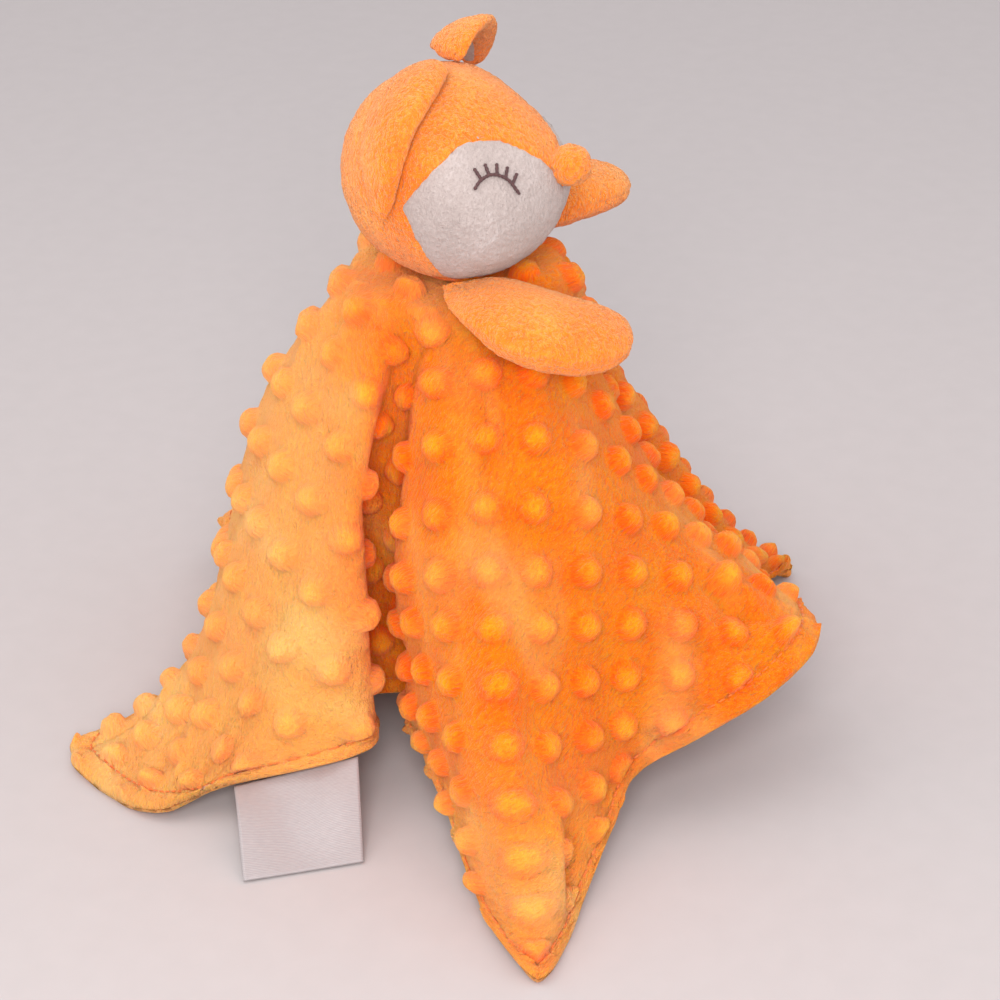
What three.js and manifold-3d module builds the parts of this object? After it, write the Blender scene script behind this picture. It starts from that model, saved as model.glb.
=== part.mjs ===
// A comfort blanket: a fox head and two arms sewn on the centre of a square dotted
// plush blanket, standing like a tent on its own folds. Millimetres, +Z up, the face
// looks along -Y, and the origin is the middle of the footprint on the floor.
import * as THREE from "three";
import { mergeVertices } from "three/addons/utils/BufferGeometryUtils.js";
import Module from "manifold-3d";

// Driving dimensions: the blanket
const blanketSide = 330;
const foldReach = 158;
const clothThickness = 1.6;
const layerGap = 0.3;
const tentHeight = 149;
const neckSink = 2;
const shoulderRadius = 30;
const shoulderDrop = 1.5;
const armHollow = 9;
const armPress = 4;
const waistRadius = 95;
const floorLift = 1;
const floorSoftness = 1.2;
const footCut = 0.5;
const blanketTurn = -50;
const armHollowBearing = -45;
const footAngle = 266;
const footSpread = 16;
const dotPitch = 17.5;
const dotDiameter = 9.8;
const dotHeight = 3.8;
const dotSink = 0.8;
const dotHemGap = 5;
const plainRadius = 62;

// Driving dimensions: the head
const headWidth = 65;
const headDepth = 66;
const headHeight = 61.5;
const headLift = 30.8;
const cheekBulge = 1.8;
const cheekSpread = 51;
const cheekBearing = 50;
const cheekTilt = -13;
const browFlat = 4.5;
const browSpread = 60;
const browBearing = 46;
const browTilt = 38;
const chinSpread = 33;
const chinBearing = 18;
const chinTilt = -22;
const plushWall = 1.8;
const seamGap = 0.3;
const noseDiameter = 12;
const noseWall = 1;
const noseLift = 10;
const noseSink = 3;
const neckRingRadius = 10;
const neckRingWire = 1;
const neckRingLift = 0.7;
const eyeThread = 0.8;
const eyeGap = 0.05;

// Driving dimensions: the limbs and the care label
const armLength = 57;
const armWidth = 28;
const armThickness = 16;
const earLength = 50;
const earWidth = 19;
const earThickness = 6;
const earRoll = 28;
const earClearance = 0.5;
const labelThickness = 0.5;
const labelGap = 0.8;

const orange = new THREE.MeshStandardMaterial({ color: 0xf58a2c, roughness: 0.95 });
const dotOrange = new THREE.MeshStandardMaterial({ color: 0xf5862a, roughness: 0.95 });
const liningOrange = new THREE.MeshStandardMaterial({ color: 0xf27f24, roughness: 0.95 });
const white = new THREE.MeshStandardMaterial({ color: 0xf2ece6, roughness: 0.95 });
const filling = new THREE.MeshStandardMaterial({ color: 0xf7f7f4, roughness: 1 });
const threadBrown = new THREE.MeshStandardMaterial({ color: 0x3d1f22, roughness: 0.7 });
const threadOrange = new THREE.MeshStandardMaterial({ color: 0xc96a1c, roughness: 0.7 });
const satin = new THREE.MeshStandardMaterial({ color: 0xf0eded, roughness: 0.35 });

const wasm = await Module();
wasm.setup();

const rad = THREE.MathUtils.degToRad;
const clamp = THREE.MathUtils.clamp;
const halfSide = blanketSide / 2;
const neckHeight = tentHeight - neckSink;
const clothOffset = layerGap / 2 + clothThickness;

// A level direction: bearing 0 is the front, and bearings grow towards the object's left.
function bearing(degrees) {
  return new THREE.Vector3(Math.sin(rad(degrees)), -Math.cos(rad(degrees)), 0);
}

// A direction given by its bearing and its elevation above level.
function direction(degrees, elevation) {
  return bearing(degrees)
    .multiplyScalar(Math.cos(rad(elevation)))
    .setZ(Math.sin(rad(elevation)));
}

// Closed mesh to solid and back
function toSolid(geometry) {
  const bare = new THREE.BufferGeometry();
  const flat = geometry.index ? geometry.toNonIndexed() : geometry;
  bare.setAttribute("position", flat.getAttribute("position").clone());
  const merged = mergeVertices(bare, 1e-4);
  return new wasm.Manifold(
    new wasm.Mesh({
      numProp: 3,
      vertProperties: merged.attributes.position.array,
      triVerts: new Uint32Array(merged.index.array),
    }),
  );
}

function toGeometry(solid) {
  const mesh = solid.getMesh();
  const geometry = new THREE.BufferGeometry();
  geometry.setAttribute("position", new THREE.BufferAttribute(mesh.vertProperties, 3));
  geometry.setIndex(new THREE.BufferAttribute(mesh.triVerts, 1));
  return geometry;
}

function geometryOf(points, faces) {
  const geometry = new THREE.BufferGeometry();
  const coordinates = new Float32Array(points.flatMap((p) => [p.x, p.y, p.z]));
  geometry.setAttribute("position", new THREE.BufferAttribute(coordinates, 3));
  geometry.setIndex(faces);
  return geometry;
}

// The drape. Every ray of the flat blanket, named by its cloth angle from the front right
// corner, runs over the shoulder, through a point on the waist and on to the hem. Reach
// and height are shares of one length, the fold reach.
const waistShares = [
  // cloth angle, bearing, reach share
  [0, -61, 0.392],
  [11, -49, 0.395],
  [22, -34, 0.4],
  [37, -13, 0.386],
  [50, 4, 0.36],
  [63, 22, 0.345],
  [76, 36, 0.31],
  [90, 49, 0.385],
  [105, 61, 0.35],
  [122, 80, 0.46],
  [140, 99, 0.29],
  [160, 117, 0.44],
  [180, 135, 0.4],
  [198, 150, 0.31],
  [215, 155, 0.4],
  [232, 178, 0.33],
  [248, 191, 0.39],
  [262, 210, 0.385],
  [275, 227, 0.375],
  [288, 244, 0.36],
  [300, 256, 0.325],
  [309, 236, 0.235],
  [322, 255, 0.155],
  [333, 267, 0.262],
  [345, 281, 0.34],
];
const hemShares = [
  // cloth angle, bearing, reach share, height share
  [0, -61, 0.911, 0.004],
  [3.5, -56.5, 0.814, 0.01],
  [7, -52, 0.739, 0.028],
  [12, -43.5, 0.623, 0.06],
  [20, -33, 0.561, 0.125],
  [26.5, -24, 0.609, 0.18],
  [36, -12.5, 0.692, 0.25],
  [45, -3.5, 0.731, 0.3],
  [56, 15, 0.66, 0.23],
  [68, 35, 0.574, 0.12],
  [80, 47.5, 0.69, 0.05],
  [90, 52, 0.85, 0.004],
  [100, 62, 0.75, 0.03],
  [113, 74, 0.48, 0.08],
  [126, 87, 0.7, 0.14],
  [143, 104, 0.38, 0.11],
  [158, 115.5, 0.72, 0.07],
  [170, 126, 0.79, 0.025],
  [180, 135.5, 0.883, 0.004],
  [190, 140, 0.8, 0.03],
  [203, 148, 0.52, 0.065],
  [218, 155, 0.73, 0.09],
  [232, 172, 0.42, 0.09],
  [247, 184, 0.513, 0.06],
  [256, 201, 0.564, 0.02],
  [264, 212, 0.705, 0.005],
  [270, 218, 0.795, 0.004],
  [274, 226, 0.77, 0.006],
  [281, 237, 0.719, 0.027],
  [292, 245.5, 0.577, 0.075],
  [300, 266, 0.416, 0.127],
  [308, 251, 0.293, 0.133],
  [315, 260, 0.227, 0.133],
  [324, 281.5, 0.173, 0.13],
  [331, 281, 0.237, 0.127],
  [336, 274, 0.296, 0.12],
  [343, 283, 0.389, 0.108],
  [350, 290.5, 0.551, 0.07],
  [355, 294, 0.711, 0.025],
];
const fullTurn = 360;
const quarterTurn = 90;

// Distance from the blanket's centre to its edge along a cloth angle.
function hemRadius(angle) {
  const fromMiddle = (((angle % quarterTurn) + quarterTurn) % quarterTurn) - quarterTurn / 2;
  return halfSide / Math.cos(rad(fromMiddle));
}

// A smooth closed curve through rows of [angle, Vector3].
function ringCurve(rows) {
  const count = rows.length;
  const at = (i) => {
    const lap = Math.floor(i / count);
    const row = rows[i - lap * count];
    return { angle: row[0] + lap * fullTurn, point: row[1] };
  };
  const slope = (i) => {
    const [a, b, c] = [at(i - 1), at(i), at(i + 1)];
    const before = b.point.clone().sub(a.point).divideScalar(b.angle - a.angle);
    const after = c.point.clone().sub(b.point).divideScalar(c.angle - b.angle);
    const share = (b.angle - a.angle) / (c.angle - a.angle);
    return before.multiplyScalar(1 - share).addScaledVector(after, share);
  };
  return (angle) => {
    const turned = ((angle % fullTurn) + fullTurn) % fullTurn;
    let i = count - 1;
    while (i > 0 && rows[i][0] > turned) i -= 1;
    const [a, b] = [at(i), at(i + 1)];
    const span = b.angle - a.angle;
    const t = (turned - a.angle) / span;
    return hermite(a.point, slope(i), b.point, slope(i + 1), span, t);
  };
}

function hermite(start, startSlope, end, endSlope, span, t) {
  const t2 = t * t;
  const t3 = t2 * t;
  return start
    .clone()
    .multiplyScalar(2 * t3 - 3 * t2 + 1)
    .addScaledVector(startSlope, (t3 - 2 * t2 + t) * span)
    .addScaledVector(end, 3 * t2 - 2 * t3)
    .addScaledVector(endSlope, (t3 - t2) * span);
}

// The level top of the tent is hollowed where the right arm lies.
function pressShare(angle) {
  return Math.max(Math.cos(rad(angle + blanketTurn - armHollowBearing)), 0) ** 2;
}

function shoulderReach(angle) {
  return shoulderRadius - armHollow * pressShare(angle);
}

function shoulderPoint(angle) {
  return bearing(angle + blanketTurn)
    .multiplyScalar(shoulderReach(angle))
    .setZ(tentHeight - shoulderDrop - armPress * pressShare(angle));
}

// The waist point keeps the cloth's length from the shoulder, so its height follows.
const slackShare = 0.985;
const waistPlan = ringCurve(
  waistShares.map(([angle, turn, reach]) => [angle, bearing(turn).multiplyScalar(reach * foldReach)]),
);
function waistPoint(angle) {
  const plan = waistPlan(angle);
  const shoulder = shoulderPoint(angle);
  const level = Math.hypot(plan.x - shoulder.x, plan.y - shoulder.y);
  const length = slackShare * (waistRadius - shoulderReach(angle));
  return plan.setZ(shoulder.z - Math.sqrt(Math.max(length ** 2 - level ** 2, 0)));
}

// The hem is kept as a direction from the waist, which stays smooth through the corners.
const hemPlan = ringCurve(
  hemShares.map(([angle, turn, reach, height]) => {
    const hem = bearing(turn).multiplyScalar(reach * foldReach).setZ(height * foldReach);
    return [angle, hem.sub(waistPoint(angle)).divideScalar(hemRadius(angle) - waistRadius)];
  }),
);
function hemPoint(angle) {
  return waistPoint(angle).addScaledVector(hemPlan(angle), hemRadius(angle) - waistRadius);
}

// The place of a cloth point, given its cloth angle and its distance from the centre.
const layShare = 0.25;
const layHeight = 30;
const shoulderBendShare = 0.3;
const shoulderPullShare = 0.55;
const footDropShare = 0.9;
const footLeaveShare = 0.35;
const footLayShare = 0.9;
function drapePoint(angle, radius) {
  const foot = Math.exp(-(((angle - footAngle) / footSpread) ** 2));
  const top = new THREE.Vector3(0, 0, neckHeight);
  const shoulder = shoulderPoint(angle);
  const waist = waistPoint(angle);
  const hem = hemPoint(angle);
  const first = shoulder.clone().sub(top).normalize();
  const second = waist.clone().sub(shoulder).normalize();
  const third = hem.clone().sub(waist).normalize();
  const atShoulder = second.clone().addScaledVector(first, shoulderBendShare).normalize();
  const edge = shoulderReach(angle);
  const atWaist = second.clone().add(third);
  atWaist.setZ(atWaist.z - foot * footDropShare).normalize();
  const lay = clamp((hem.z - floorLift) / layHeight, layShare, 1);
  const atHem = third.clone().setZ(third.z * lay * (1 - foot));
  const leaving = atWaist.clone().multiplyScalar(1 + foot * footLeaveShare);
  atHem.multiplyScalar(1 + foot * footLayShare);
  const runs = [
    [top, shoulder, bearing(angle + blanketTurn), first, 0, edge, 1],
    [shoulder, waist, atShoulder, atWaist, edge, waistRadius, shoulderPullShare],
    [waist, hem, leaving, atHem, waistRadius, hemRadius(angle), 1],
  ];
  const run = runs.find((r) => radius <= r[5]) || runs[2];
  const [from, to, leave, arrive, inner, outer, pull] = run;
  const t = Math.min((radius - inner) / (outer - inner), 1);
  const point = hermite(from, leave.clone().multiplyScalar(pull), to, arrive, from.distanceTo(to), t);
  const above = (point.z - floorLift) / floorSoftness;
  return point.setZ(floorLift + floorSoftness * softPlus(above));
}

// Rises from zero to its argument, so that the cloth eases on to the floor.
function softPlus(value) {
  const far = 12;
  return value > far ? value : Math.log1p(Math.exp(value));
}

// Angles of the mesh's rays: every row of the hem, and what splits its wide gaps.
const widestGap = 9;
function clothAngles() {
  const angles = [];
  hemShares.forEach(([angle], i) => {
    const next = i + 1 < hemShares.length ? hemShares[i + 1][0] : hemShares[0][0] + fullTurn;
    const parts = Math.ceil((next - angle) / widestGap);
    for (let k = 0; k < parts; k += 1) angles.push(angle + ((next - angle) * k) / parts);
  });
  return angles;
}

// The blanket's middle surface: one centre point and rings out to the hem.
const crownRingShares = [0.5, 1];
const sideRingShares = [0.12, 0.28, 0.5, 0.75, 1];
const skirtRingShares = [0.3, 0.6, 0.85, 1];
function middleSurface() {
  const angles = clothAngles();
  const count = angles.length;
  const points = [drapePoint(angles[0], 0)];
  const flats = [new THREE.Vector2()];
  const radiiOf = (angle) => [
    ...crownRingShares.map((s) => s * shoulderReach(angle)),
    ...sideRingShares.map((s) => shoulderReach(angle) + s * (waistRadius - shoulderReach(angle))),
    ...skirtRingShares.map((s) => waistRadius + s * (hemRadius(angle) - waistRadius)),
  ];
  const rings = radiiOf(0).length;
  for (let ring = 0; ring < rings; ring += 1)
    angles.forEach((angle) => {
      const radius = radiiOf(angle)[ring];
      points.push(drapePoint(angle, radius));
      flats.push(new THREE.Vector2(radius, 0).rotateAround(new THREE.Vector2(), rad(angle)));
    });
  const faces = [];
  for (let i = 0; i < count; i += 1) {
    const j = (i + 1) % count;
    faces.push(0, 1 + i, 1 + j);
    for (let ring = 1; ring < rings; ring += 1) {
      const inner = 1 + (ring - 1) * count;
      const outer = inner + count;
      faces.push(inner + i, outer + i, outer + j);
      faces.push(inner + i, outer + j, inner + j);
    }
  }
  return { points, flats, faces, rim: points.length - count, count };
}

// The normals of the middle surface at its points.
function surfaceNormals({ points, faces }) {
  const base = geometryOf(points, faces);
  base.computeVertexNormals();
  const normals = base.getAttribute("normal");
  return points.map((_, i) => new THREE.Vector3().fromBufferAttribute(normals, i));
}

// A sheet of cloth between two offsets from the middle surface.
function sheetSolid(surface, low, high) {
  const { points, faces, rim, count } = surface;
  const outward = surfaceNormals(surface);
  const moved = (distance) => points.map((p, i) => p.clone().addScaledVector(outward[i], distance));
  const total = points.length;
  const shell = [...faces];
  for (let i = 0; i < faces.length; i += 3)
    shell.push(total + faces[i], total + faces[i + 2], total + faces[i + 1]);
  for (let i = 0; i < count; i += 1) {
    const a = rim + i;
    const b = rim + ((i + 1) % count);
    shell.push(a, total + a, total + b);
    shell.push(a, total + b, b);
  }
  return toSolid(geometryOf([...moved(high), ...moved(low)], shell));
}

// Finds places on the dotted side: a flat point of the cloth, and a height above the layer.
function dottedSide(surface) {
  const { points, flats, faces } = surface;
  const outward = surfaceNormals(surface);
  const corner = (a, b, p) => (b.x - a.x) * (p.y - a.y) - (b.y - a.y) * (p.x - a.x);
  return (flat, height) => {
    for (let i = 0; i < faces.length; i += 3) {
      const [a, b, c] = [flats[faces[i]], flats[faces[i + 1]], flats[faces[i + 2]]];
      const shares = [corner(b, c, flat), corner(c, a, flat), corner(a, b, flat)];
      const whole = shares[0] + shares[1] + shares[2];
      if (!whole || shares.some((share) => share / whole < 0)) continue;
      const place = new THREE.Vector3();
      shares.forEach((share, k) => {
        place.addScaledVector(points[faces[i + k]], share / whole);
        place.addScaledVector(outward[faces[i + k]], (share / whole) * (clothOffset + height));
      });
      return place;
    }
    return null;
  };
}

// The raised dots lie on a square lattice along the blanket's diagonals. They are left out
// on the crown, where the head and the arms press the plush flat, and along the hem.
const dotSides = 5;
function dotSolids(surface) {
  const onCloth = dottedSide(surface);
  const dots = [];
  const reach = Math.ceil((halfSide * Math.SQRT2) / dotPitch);
  for (let i = -reach; i < reach; i += 1)
    for (let k = -reach; k <= reach; k += 1) {
      const flat = new THREE.Vector2((i + 1 / 2) * dotPitch, k * dotPitch);
      const hemGap = (halfSide * Math.SQRT2 - Math.abs(flat.x) - Math.abs(flat.y)) / Math.SQRT2;
      if (hemGap < dotDiameter / 2 + dotHemGap || flat.length() < plainRadius) continue;
      dots.push(dotSolid(onCloth, flat));
    }
  return dots;
}

function dotSolid(onCloth, flat) {
  const points = [onCloth(flat, dotHeight), onCloth(flat, -dotSink)];
  const faces = [];
  for (let s = 0; s < dotSides; s += 1) {
    const spoke = new THREE.Vector2(dotDiameter / 2, 0);
    spoke.rotateAround(new THREE.Vector2(), (2 * Math.PI * s) / dotSides);
    points.push(onCloth(spoke.add(flat), -dotSink));
    const next = (s + 1) % dotSides;
    faces.push(0, 2 + s, 2 + next, 1, 2 + next, 2 + s);
  }
  return toSolid(geometryOf(points, faces));
}

function slab(lowest, highest) {
  const wide = blanketSide * 2;
  const box = new THREE.BoxGeometry(wide, wide, highest - lowest);
  box.translate(0, 0, (lowest + highest) / 2);
  return toSolid(box);
}

function largestBody(solid) {
  return solid.decompose().sort((a, b) => b.volume() - a.volume())[0];
}

// The two layers of the blanket. The lining is cut flat where it stands on the floor.
const surface = middleSurface();
const plainLayer = sheetSolid(surface, layerGap / 2, clothOffset);
const dottedLayer = largestBody(wasm.Manifold.union([plainLayer, ...dotSolids(surface)]));
const liningWhole = sheetSolid(surface, -clothOffset, -layerGap / 2).subtract(dottedLayer);
const lowestPoint = liningWhole.boundingBox().min[2];
const floorLevel = lowestPoint + footCut;
const lining = largestBody(liningWhole.subtract(slab(lowestPoint - blanketSide, floorLevel)));

// The head: an egg with two cheeks and a flatter brow on either side, split into a crown
// and two cheek panels.
const headCentre = new THREE.Vector3(0, 0, tentHeight + headLift);
function headRadius(towards, inset) {
  const half = [headWidth / 2 - inset, headDepth / 2 - inset, headHeight / 2 - inset];
  const base = 1 / Math.hypot(towards.x / half[0], towards.y / half[1], towards.z / half[2]);
  let bulge = 0;
  [-cheekBearing, cheekBearing].forEach((turn) => {
    const away = towards.angleTo(direction(turn, cheekTilt)) / rad(cheekSpread);
    bulge += cheekBulge * Math.exp(-3 * away ** 2);
  });
  [-browBearing, browBearing].forEach((turn) => {
    const away = towards.angleTo(direction(turn, browTilt)) / rad(browSpread);
    bulge -= browFlat * Math.exp(-3 * away ** 2);
  });
  return base + bulge;
}

function headPoint(towards, lift = 0) {
  return headCentre.clone().addScaledVector(towards, headRadius(towards, 0) + lift);
}

const headRound = 32;
const headRings = 18;
function headForm(inset) {
  const form = new THREE.SphereGeometry(1, headRound, headRings);
  form.rotateX(Math.PI / 2);
  const place = form.getAttribute("position");
  for (let i = 0; i < place.count; i += 1) {
    const towards = new THREE.Vector3().fromBufferAttribute(place, i).normalize();
    const point = headCentre.clone().addScaledVector(towards, headRadius(towards, inset));
    place.setXYZ(i, point.x, point.y, point.z);
  }
  return toSolid(form);
}

// Cones from the head's centre cut one cheek panel out of the head's shell: a wide one
// for the cheek and a narrow one for its share of the chin.
const coneSides = 32;
function coneTowards(aim, spread) {
  const reach = headWidth;
  const cone = new THREE.ConeGeometry(reach * Math.tan(rad(spread)), reach, coneSides);
  cone.rotateX(Math.PI);
  cone.translate(0, reach / 2, 0);
  cone.applyQuaternion(new THREE.Quaternion().setFromUnitVectors(new THREE.Vector3(0, 1, 0), aim));
  cone.translate(headCentre.x, headCentre.y, headCentre.z);
  return toSolid(cone);
}

function cheekCones(side, gap) {
  const inset = THREE.MathUtils.radToDeg((2 * gap) / headWidth);
  const cheek = coneTowards(direction(side * cheekBearing, cheekTilt), cheekSpread - inset);
  const chin = coneTowards(direction(side * chinBearing, chinTilt), chinSpread - inset);
  return cheek.add(chin);
}

// Half of space on one side of the face's middle plane, kept clear of it by a gap.
function sideBlock(side, gap) {
  const size = headWidth * 2;
  const box = new THREE.BoxGeometry(size, size, size);
  box.translate(side * (size / 2 + gap), headCentre.y, headCentre.z);
  return toSolid(box);
}

const noseCentre = headPoint(direction(0, noseLift), noseDiameter / 2 - noseSink);
const noseRound = 16;
const noseRings = 10;
function noseSeat(growth) {
  const ball = new THREE.SphereGeometry(noseDiameter / 2 + growth, noseRound, noseRings);
  ball.translate(noseCentre.x, noseCentre.y, noseCentre.z);
  return toSolid(ball);
}

const headShell = headForm(0).subtract(headForm(plushWall)).subtract(noseSeat(seamGap));
const headFilling = headForm(plushWall + seamGap).subtract(noseSeat(seamGap));
const crownShell = headShell.subtract(cheekCones(-1, 0).add(cheekCones(1, 0)));
function cheekPanel(side) {
  return headShell.intersect(cheekCones(side, seamGap)).intersect(sideBlock(side, seamGap / 2));
}

// The nose: a gathered ball, open towards the head, round its own filling.
const noseMouthShare = 0.45;
function noseCover() {
  const outer = noseDiameter / 2;
  const inner = outer - noseWall;
  const steps = 7;
  const open = Math.asin(noseMouthShare);
  const profile = [];
  for (let i = 0; i <= steps; i += 1) {
    const angle = open + ((Math.PI - open) * i) / steps;
    profile.push(new THREE.Vector2(i === steps ? 0 : outer * Math.sin(angle), outer * Math.cos(angle)));
  }
  for (let i = steps; i >= 0; i -= 1) {
    const angle = open + ((Math.PI - open) * i) / steps;
    profile.push(new THREE.Vector2(i === steps ? 0 : inner * Math.sin(angle), inner * Math.cos(angle)));
  }
  profile.push(profile[0].clone());
  const cover = new THREE.LatheGeometry(profile.reverse(), noseRound);
  return seatNose(cover);
}

function noseStuffing() {
  return seatNose(new THREE.SphereGeometry(noseDiameter / 2 - noseWall - seamGap, noseRound, noseRings));
}

function seatNose(geometry) {
  const back = headCentre.clone().sub(noseCentre).normalize();
  geometry.applyQuaternion(new THREE.Quaternion().setFromUnitVectors(new THREE.Vector3(0, 1, 0), back));
  geometry.translate(noseCentre.x, noseCentre.y, noseCentre.z);
  return toSolid(geometry);
}

// A soft limb: sections swell and taper along a curve. A point is named by its station
// share, its angle round the section and its inset. An inset form is a smaller limb of the
// same kind inside the outer one, and starts where the outer one is thick enough.
function limb({ path, upward, width, thickness, swell, rootShare, cupRadius }) {
  const curve = new THREE.CatmullRomCurve3(path);
  const along = (station, inset) => {
    const start = inset ? fillStartShare + (inset - plushWall) / armLength : 0;
    return start + station * (1 - inset / armLength - start);
  };
  const frame = (station, inset) => {
    const share = along(station, inset);
    const tangent = curve.getTangentAt(share);
    const up = upward(curve.getPointAt(share), tangent);
    up.addScaledVector(tangent, -up.dot(tangent)).normalize();
    const sideways = new THREE.Vector3().crossVectors(up, tangent);
    return { share, centre: curve.getPointAt(share), up, sideways };
  };
  const point = (station, angle, inset) => {
    const { share, centre, up, sideways } = frame(station, inset);
    const root = rootShare + (1 - rootShare) * THREE.MathUtils.smoothstep(share, 0, rootEndShare);
    const across = (width / 2 - inset) * swell(station) * Math.cos(angle);
    const above = (thickness / 2 - inset) * swell(station) * root * Math.sin(angle);
    const fall = cupRadius ? across ** 2 / (2 * cupRadius) : 0;
    return centre.addScaledVector(sideways, across).addScaledVector(up, above - fall);
  };
  return { frame, point };
}

// Widest past the middle and round at both ends.
const rootEndShare = 0.5;
const fillStartShare = 0.2;
const armLeanShare = 1.3;
const armRoundShare = 2.4;
const earLeanShare = 0.65;
const earRoundShare = 1.7;
function swelling(leanShare, roundShare) {
  return (share) => {
    const from = Math.abs(2 * share ** leanShare - 1);
    return Math.sqrt(Math.max(1 - from ** roundShare, 0));
  };
}

// Stations crowd together at the ends of a limb, where it rounds off.
function stationShares(stations) {
  const shares = [];
  for (let i = 0; i <= stations; i += 1) shares.push((1 - Math.cos((Math.PI * i) / stations)) / 2);
  return shares;
}

// One of the two panels of a stuffed limb: the skin of its upper or its lower half.
const limbStations = 9;
const limbSides = 6;
function limbPanel(form, side, wall) {
  const layer = (inset) =>
    stationShares(limbStations).flatMap((share) => {
      const { up } = form.frame(share, inset);
      const row = [];
      for (let k = 0; k <= limbSides; k += 1) {
        const angle = (side * Math.PI * k) / limbSides;
        row.push(form.point(share, angle, inset).addScaledVector(up, (side * seamGap) / 2));
      }
      return row;
    });
  const outer = layer(0);
  const points = [...outer, ...layer(wall)];
  const row = limbSides + 1;
  const total = outer.length;
  const faces = [];
  const quad = (a, b, c, d) => faces.push(a, b, c, a, c, d);
  for (let i = 0; i < limbStations; i += 1) {
    for (let k = 0; k < limbSides; k += 1) {
      const a = i * row + k;
      quad(a, a + row, a + row + 1, a + 1);
      quad(total + a, total + a + 1, total + a + row + 1, total + a + row);
    }
    const first = i * row;
    const last = first + limbSides;
    quad(first, total + first, total + first + row, first + row);
    quad(last, last + row, total + last + row, total + last);
  }
  return closeForm(points, faces);
}

// A whole form drawn in by its inset, such as a limb's filling.
const fillSides = 10;
function limbWhole(form, inset) {
  const rows = stationShares(limbStations).map((share) => {
    const row = [];
    for (let k = 0; k < fillSides; k += 1)
      row.push(form.point(share, (2 * Math.PI * k) / fillSides, inset));
    return row;
  });
  return loft(rows);
}

// One of the two layers of an ear: the upper or the lower half of its form, solid.
const earStations = 12;
const earSides = 6;
function earLayer(form, side) {
  const rows = stationShares(earStations).map((share) => {
    const { up } = form.frame(share, 0);
    const row = [];
    for (let k = 0; k <= earSides; k += 1)
      row.push(form.point(share, (side * Math.PI * k) / earSides, 0));
    for (let k = earSides - 1; k > 0; k -= 1)
      row.push(seamPoint(form, share, Math.acos(1 - (2 * k) / earSides)));
    return row.map((p) => p.addScaledVector(up, (side * seamGap) / 2));
  });
  return loft(rows);
}

// A point of the seam surface, midway between the upper and the lower point of a section.
function seamPoint(form, share, angle) {
  return form.point(share, angle, 0).add(form.point(share, -angle, 0)).multiplyScalar(0.5);
}

// A closed form through a row of sections, each an even ring of points.
function loft(rows) {
  const width = rows[0].length;
  const last = (rows.length - 1) * width;
  const faces = [];
  for (let a = 0; a < last; a += 1) {
    const b = (a + 1) % width === 0 ? a + 1 - width : a + 1;
    faces.push(a, a + width, b + width, a, b + width, b);
  }
  for (let k = 1; k + 1 < width; k += 1) {
    faces.push(0, k, k + 1);
    faces.push(last, last + k + 1, last + k);
  }
  return closeForm(rows.flat(), faces);
}

// Merges the points that fall together at a form's poles and turns the form right side out.
function closeForm(points, faces) {
  const merged = mergeVertices(geometryOf(points, faces), 1e-3);
  const index = merged.index.array;
  const kept = [];
  for (let i = 0; i < index.length; i += 3) {
    const [a, b, c] = [index[i], index[i + 1], index[i + 2]];
    if (a !== b && b !== c && a !== c) kept.push(a, b, c);
  }
  merged.setIndex(kept);
  const solid = toSolid(merged);
  if (solid.volume() > 0) return solid;
  const turned = [];
  for (let i = 0; i < kept.length; i += 3) turned.push(kept[i], kept[i + 2], kept[i + 1]);
  merged.setIndex(turned);
  return toSolid(merged);
}

// Paths of the arms from the neck, in shares of an arm's length.
const rightArmShares = [
  [-0.33, -0.06, 0.04],
  [-0.39, -0.29, 0.03],
  [-0.38, -0.53, -0.07],
  [-0.29, -0.77, -0.13],
  [-0.145, -0.985, -0.135],
];
const leftArmShares = [
  [0.3, 0.01, 0.012],
  [0.53, -0.13, 0.105],
  [0.74, -0.29, 0.15],
  [0.96, -0.435, 0.14],
  [1.11, -0.53, 0.105],
];
const rightArmUpShares = new THREE.Vector3(-0.33, -0.12, 0.94);
const leftArmUpShares = new THREE.Vector3(0, 0, 1);
const thinRootShare = 0.25;
function armForm(shares, up) {
  const neck = new THREE.Vector3(0, 0, tentHeight);
  return limb({
    path: shares.map((row) => new THREE.Vector3(...row).multiplyScalar(armLength).add(neck)),
    upward: () => up.clone(),
    width: armWidth,
    thickness: armThickness,
    swell: swelling(armLeanShare, armRoundShare),
    rootShare: thinRootShare,
  });
}

// The right ear lies down the head's side, from the top of the head.
const rightEarAngles = [
  [-130, 80],
  [-118, 63],
  [-113, 42],
  [-108, 20],
  [-104, -4],
];
function rightEarForm() {
  const lift = earClearance + earThickness / 2;
  const path = rightEarAngles.map(([turn, rise]) => headPoint(direction(turn, rise), lift));
  return earForm(path, (centre) => centre.sub(headCentre).normalize(), headWidth / 2);
}

// The left ear stands up from the top of the head and falls over to the far side, rolled
// so that its front edge is the higher one.
const leftEarShares = [
  [0.17, 0.1, 0.58],
  [0.19, 0.1, 0.65],
  [0.27, 0.1, 0.69],
  [0.4, 0.1, 0.685],
  [0.53, 0.11, 0.61],
  [0.63, 0.13, 0.5],
  [0.69, 0.15, 0.36],
];
function leftEarForm() {
  const place = (row) => new THREE.Vector3(...row).multiplyScalar(earLength).add(headCentre);
  const path = leftEarShares.map(place);
  const backward = new THREE.Vector3(0, 1, 0);
  const upward = (centre, tangent) => {
    const level = tangent.clone().cross(backward).normalize();
    const rolled = level.multiplyScalar(Math.cos(rad(earRoll)));
    return rolled.addScaledVector(backward, Math.sin(rad(earRoll))).normalize();
  };
  return earForm(path, upward, 0);
}

function earForm(path, upward, cupRadius) {
  return limb({
    path,
    upward,
    width: earWidth,
    thickness: earThickness,
    swell: swelling(earLeanShare, earRoundShare),
    rootShare: 1,
    cupRadius,
  });
}

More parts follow.
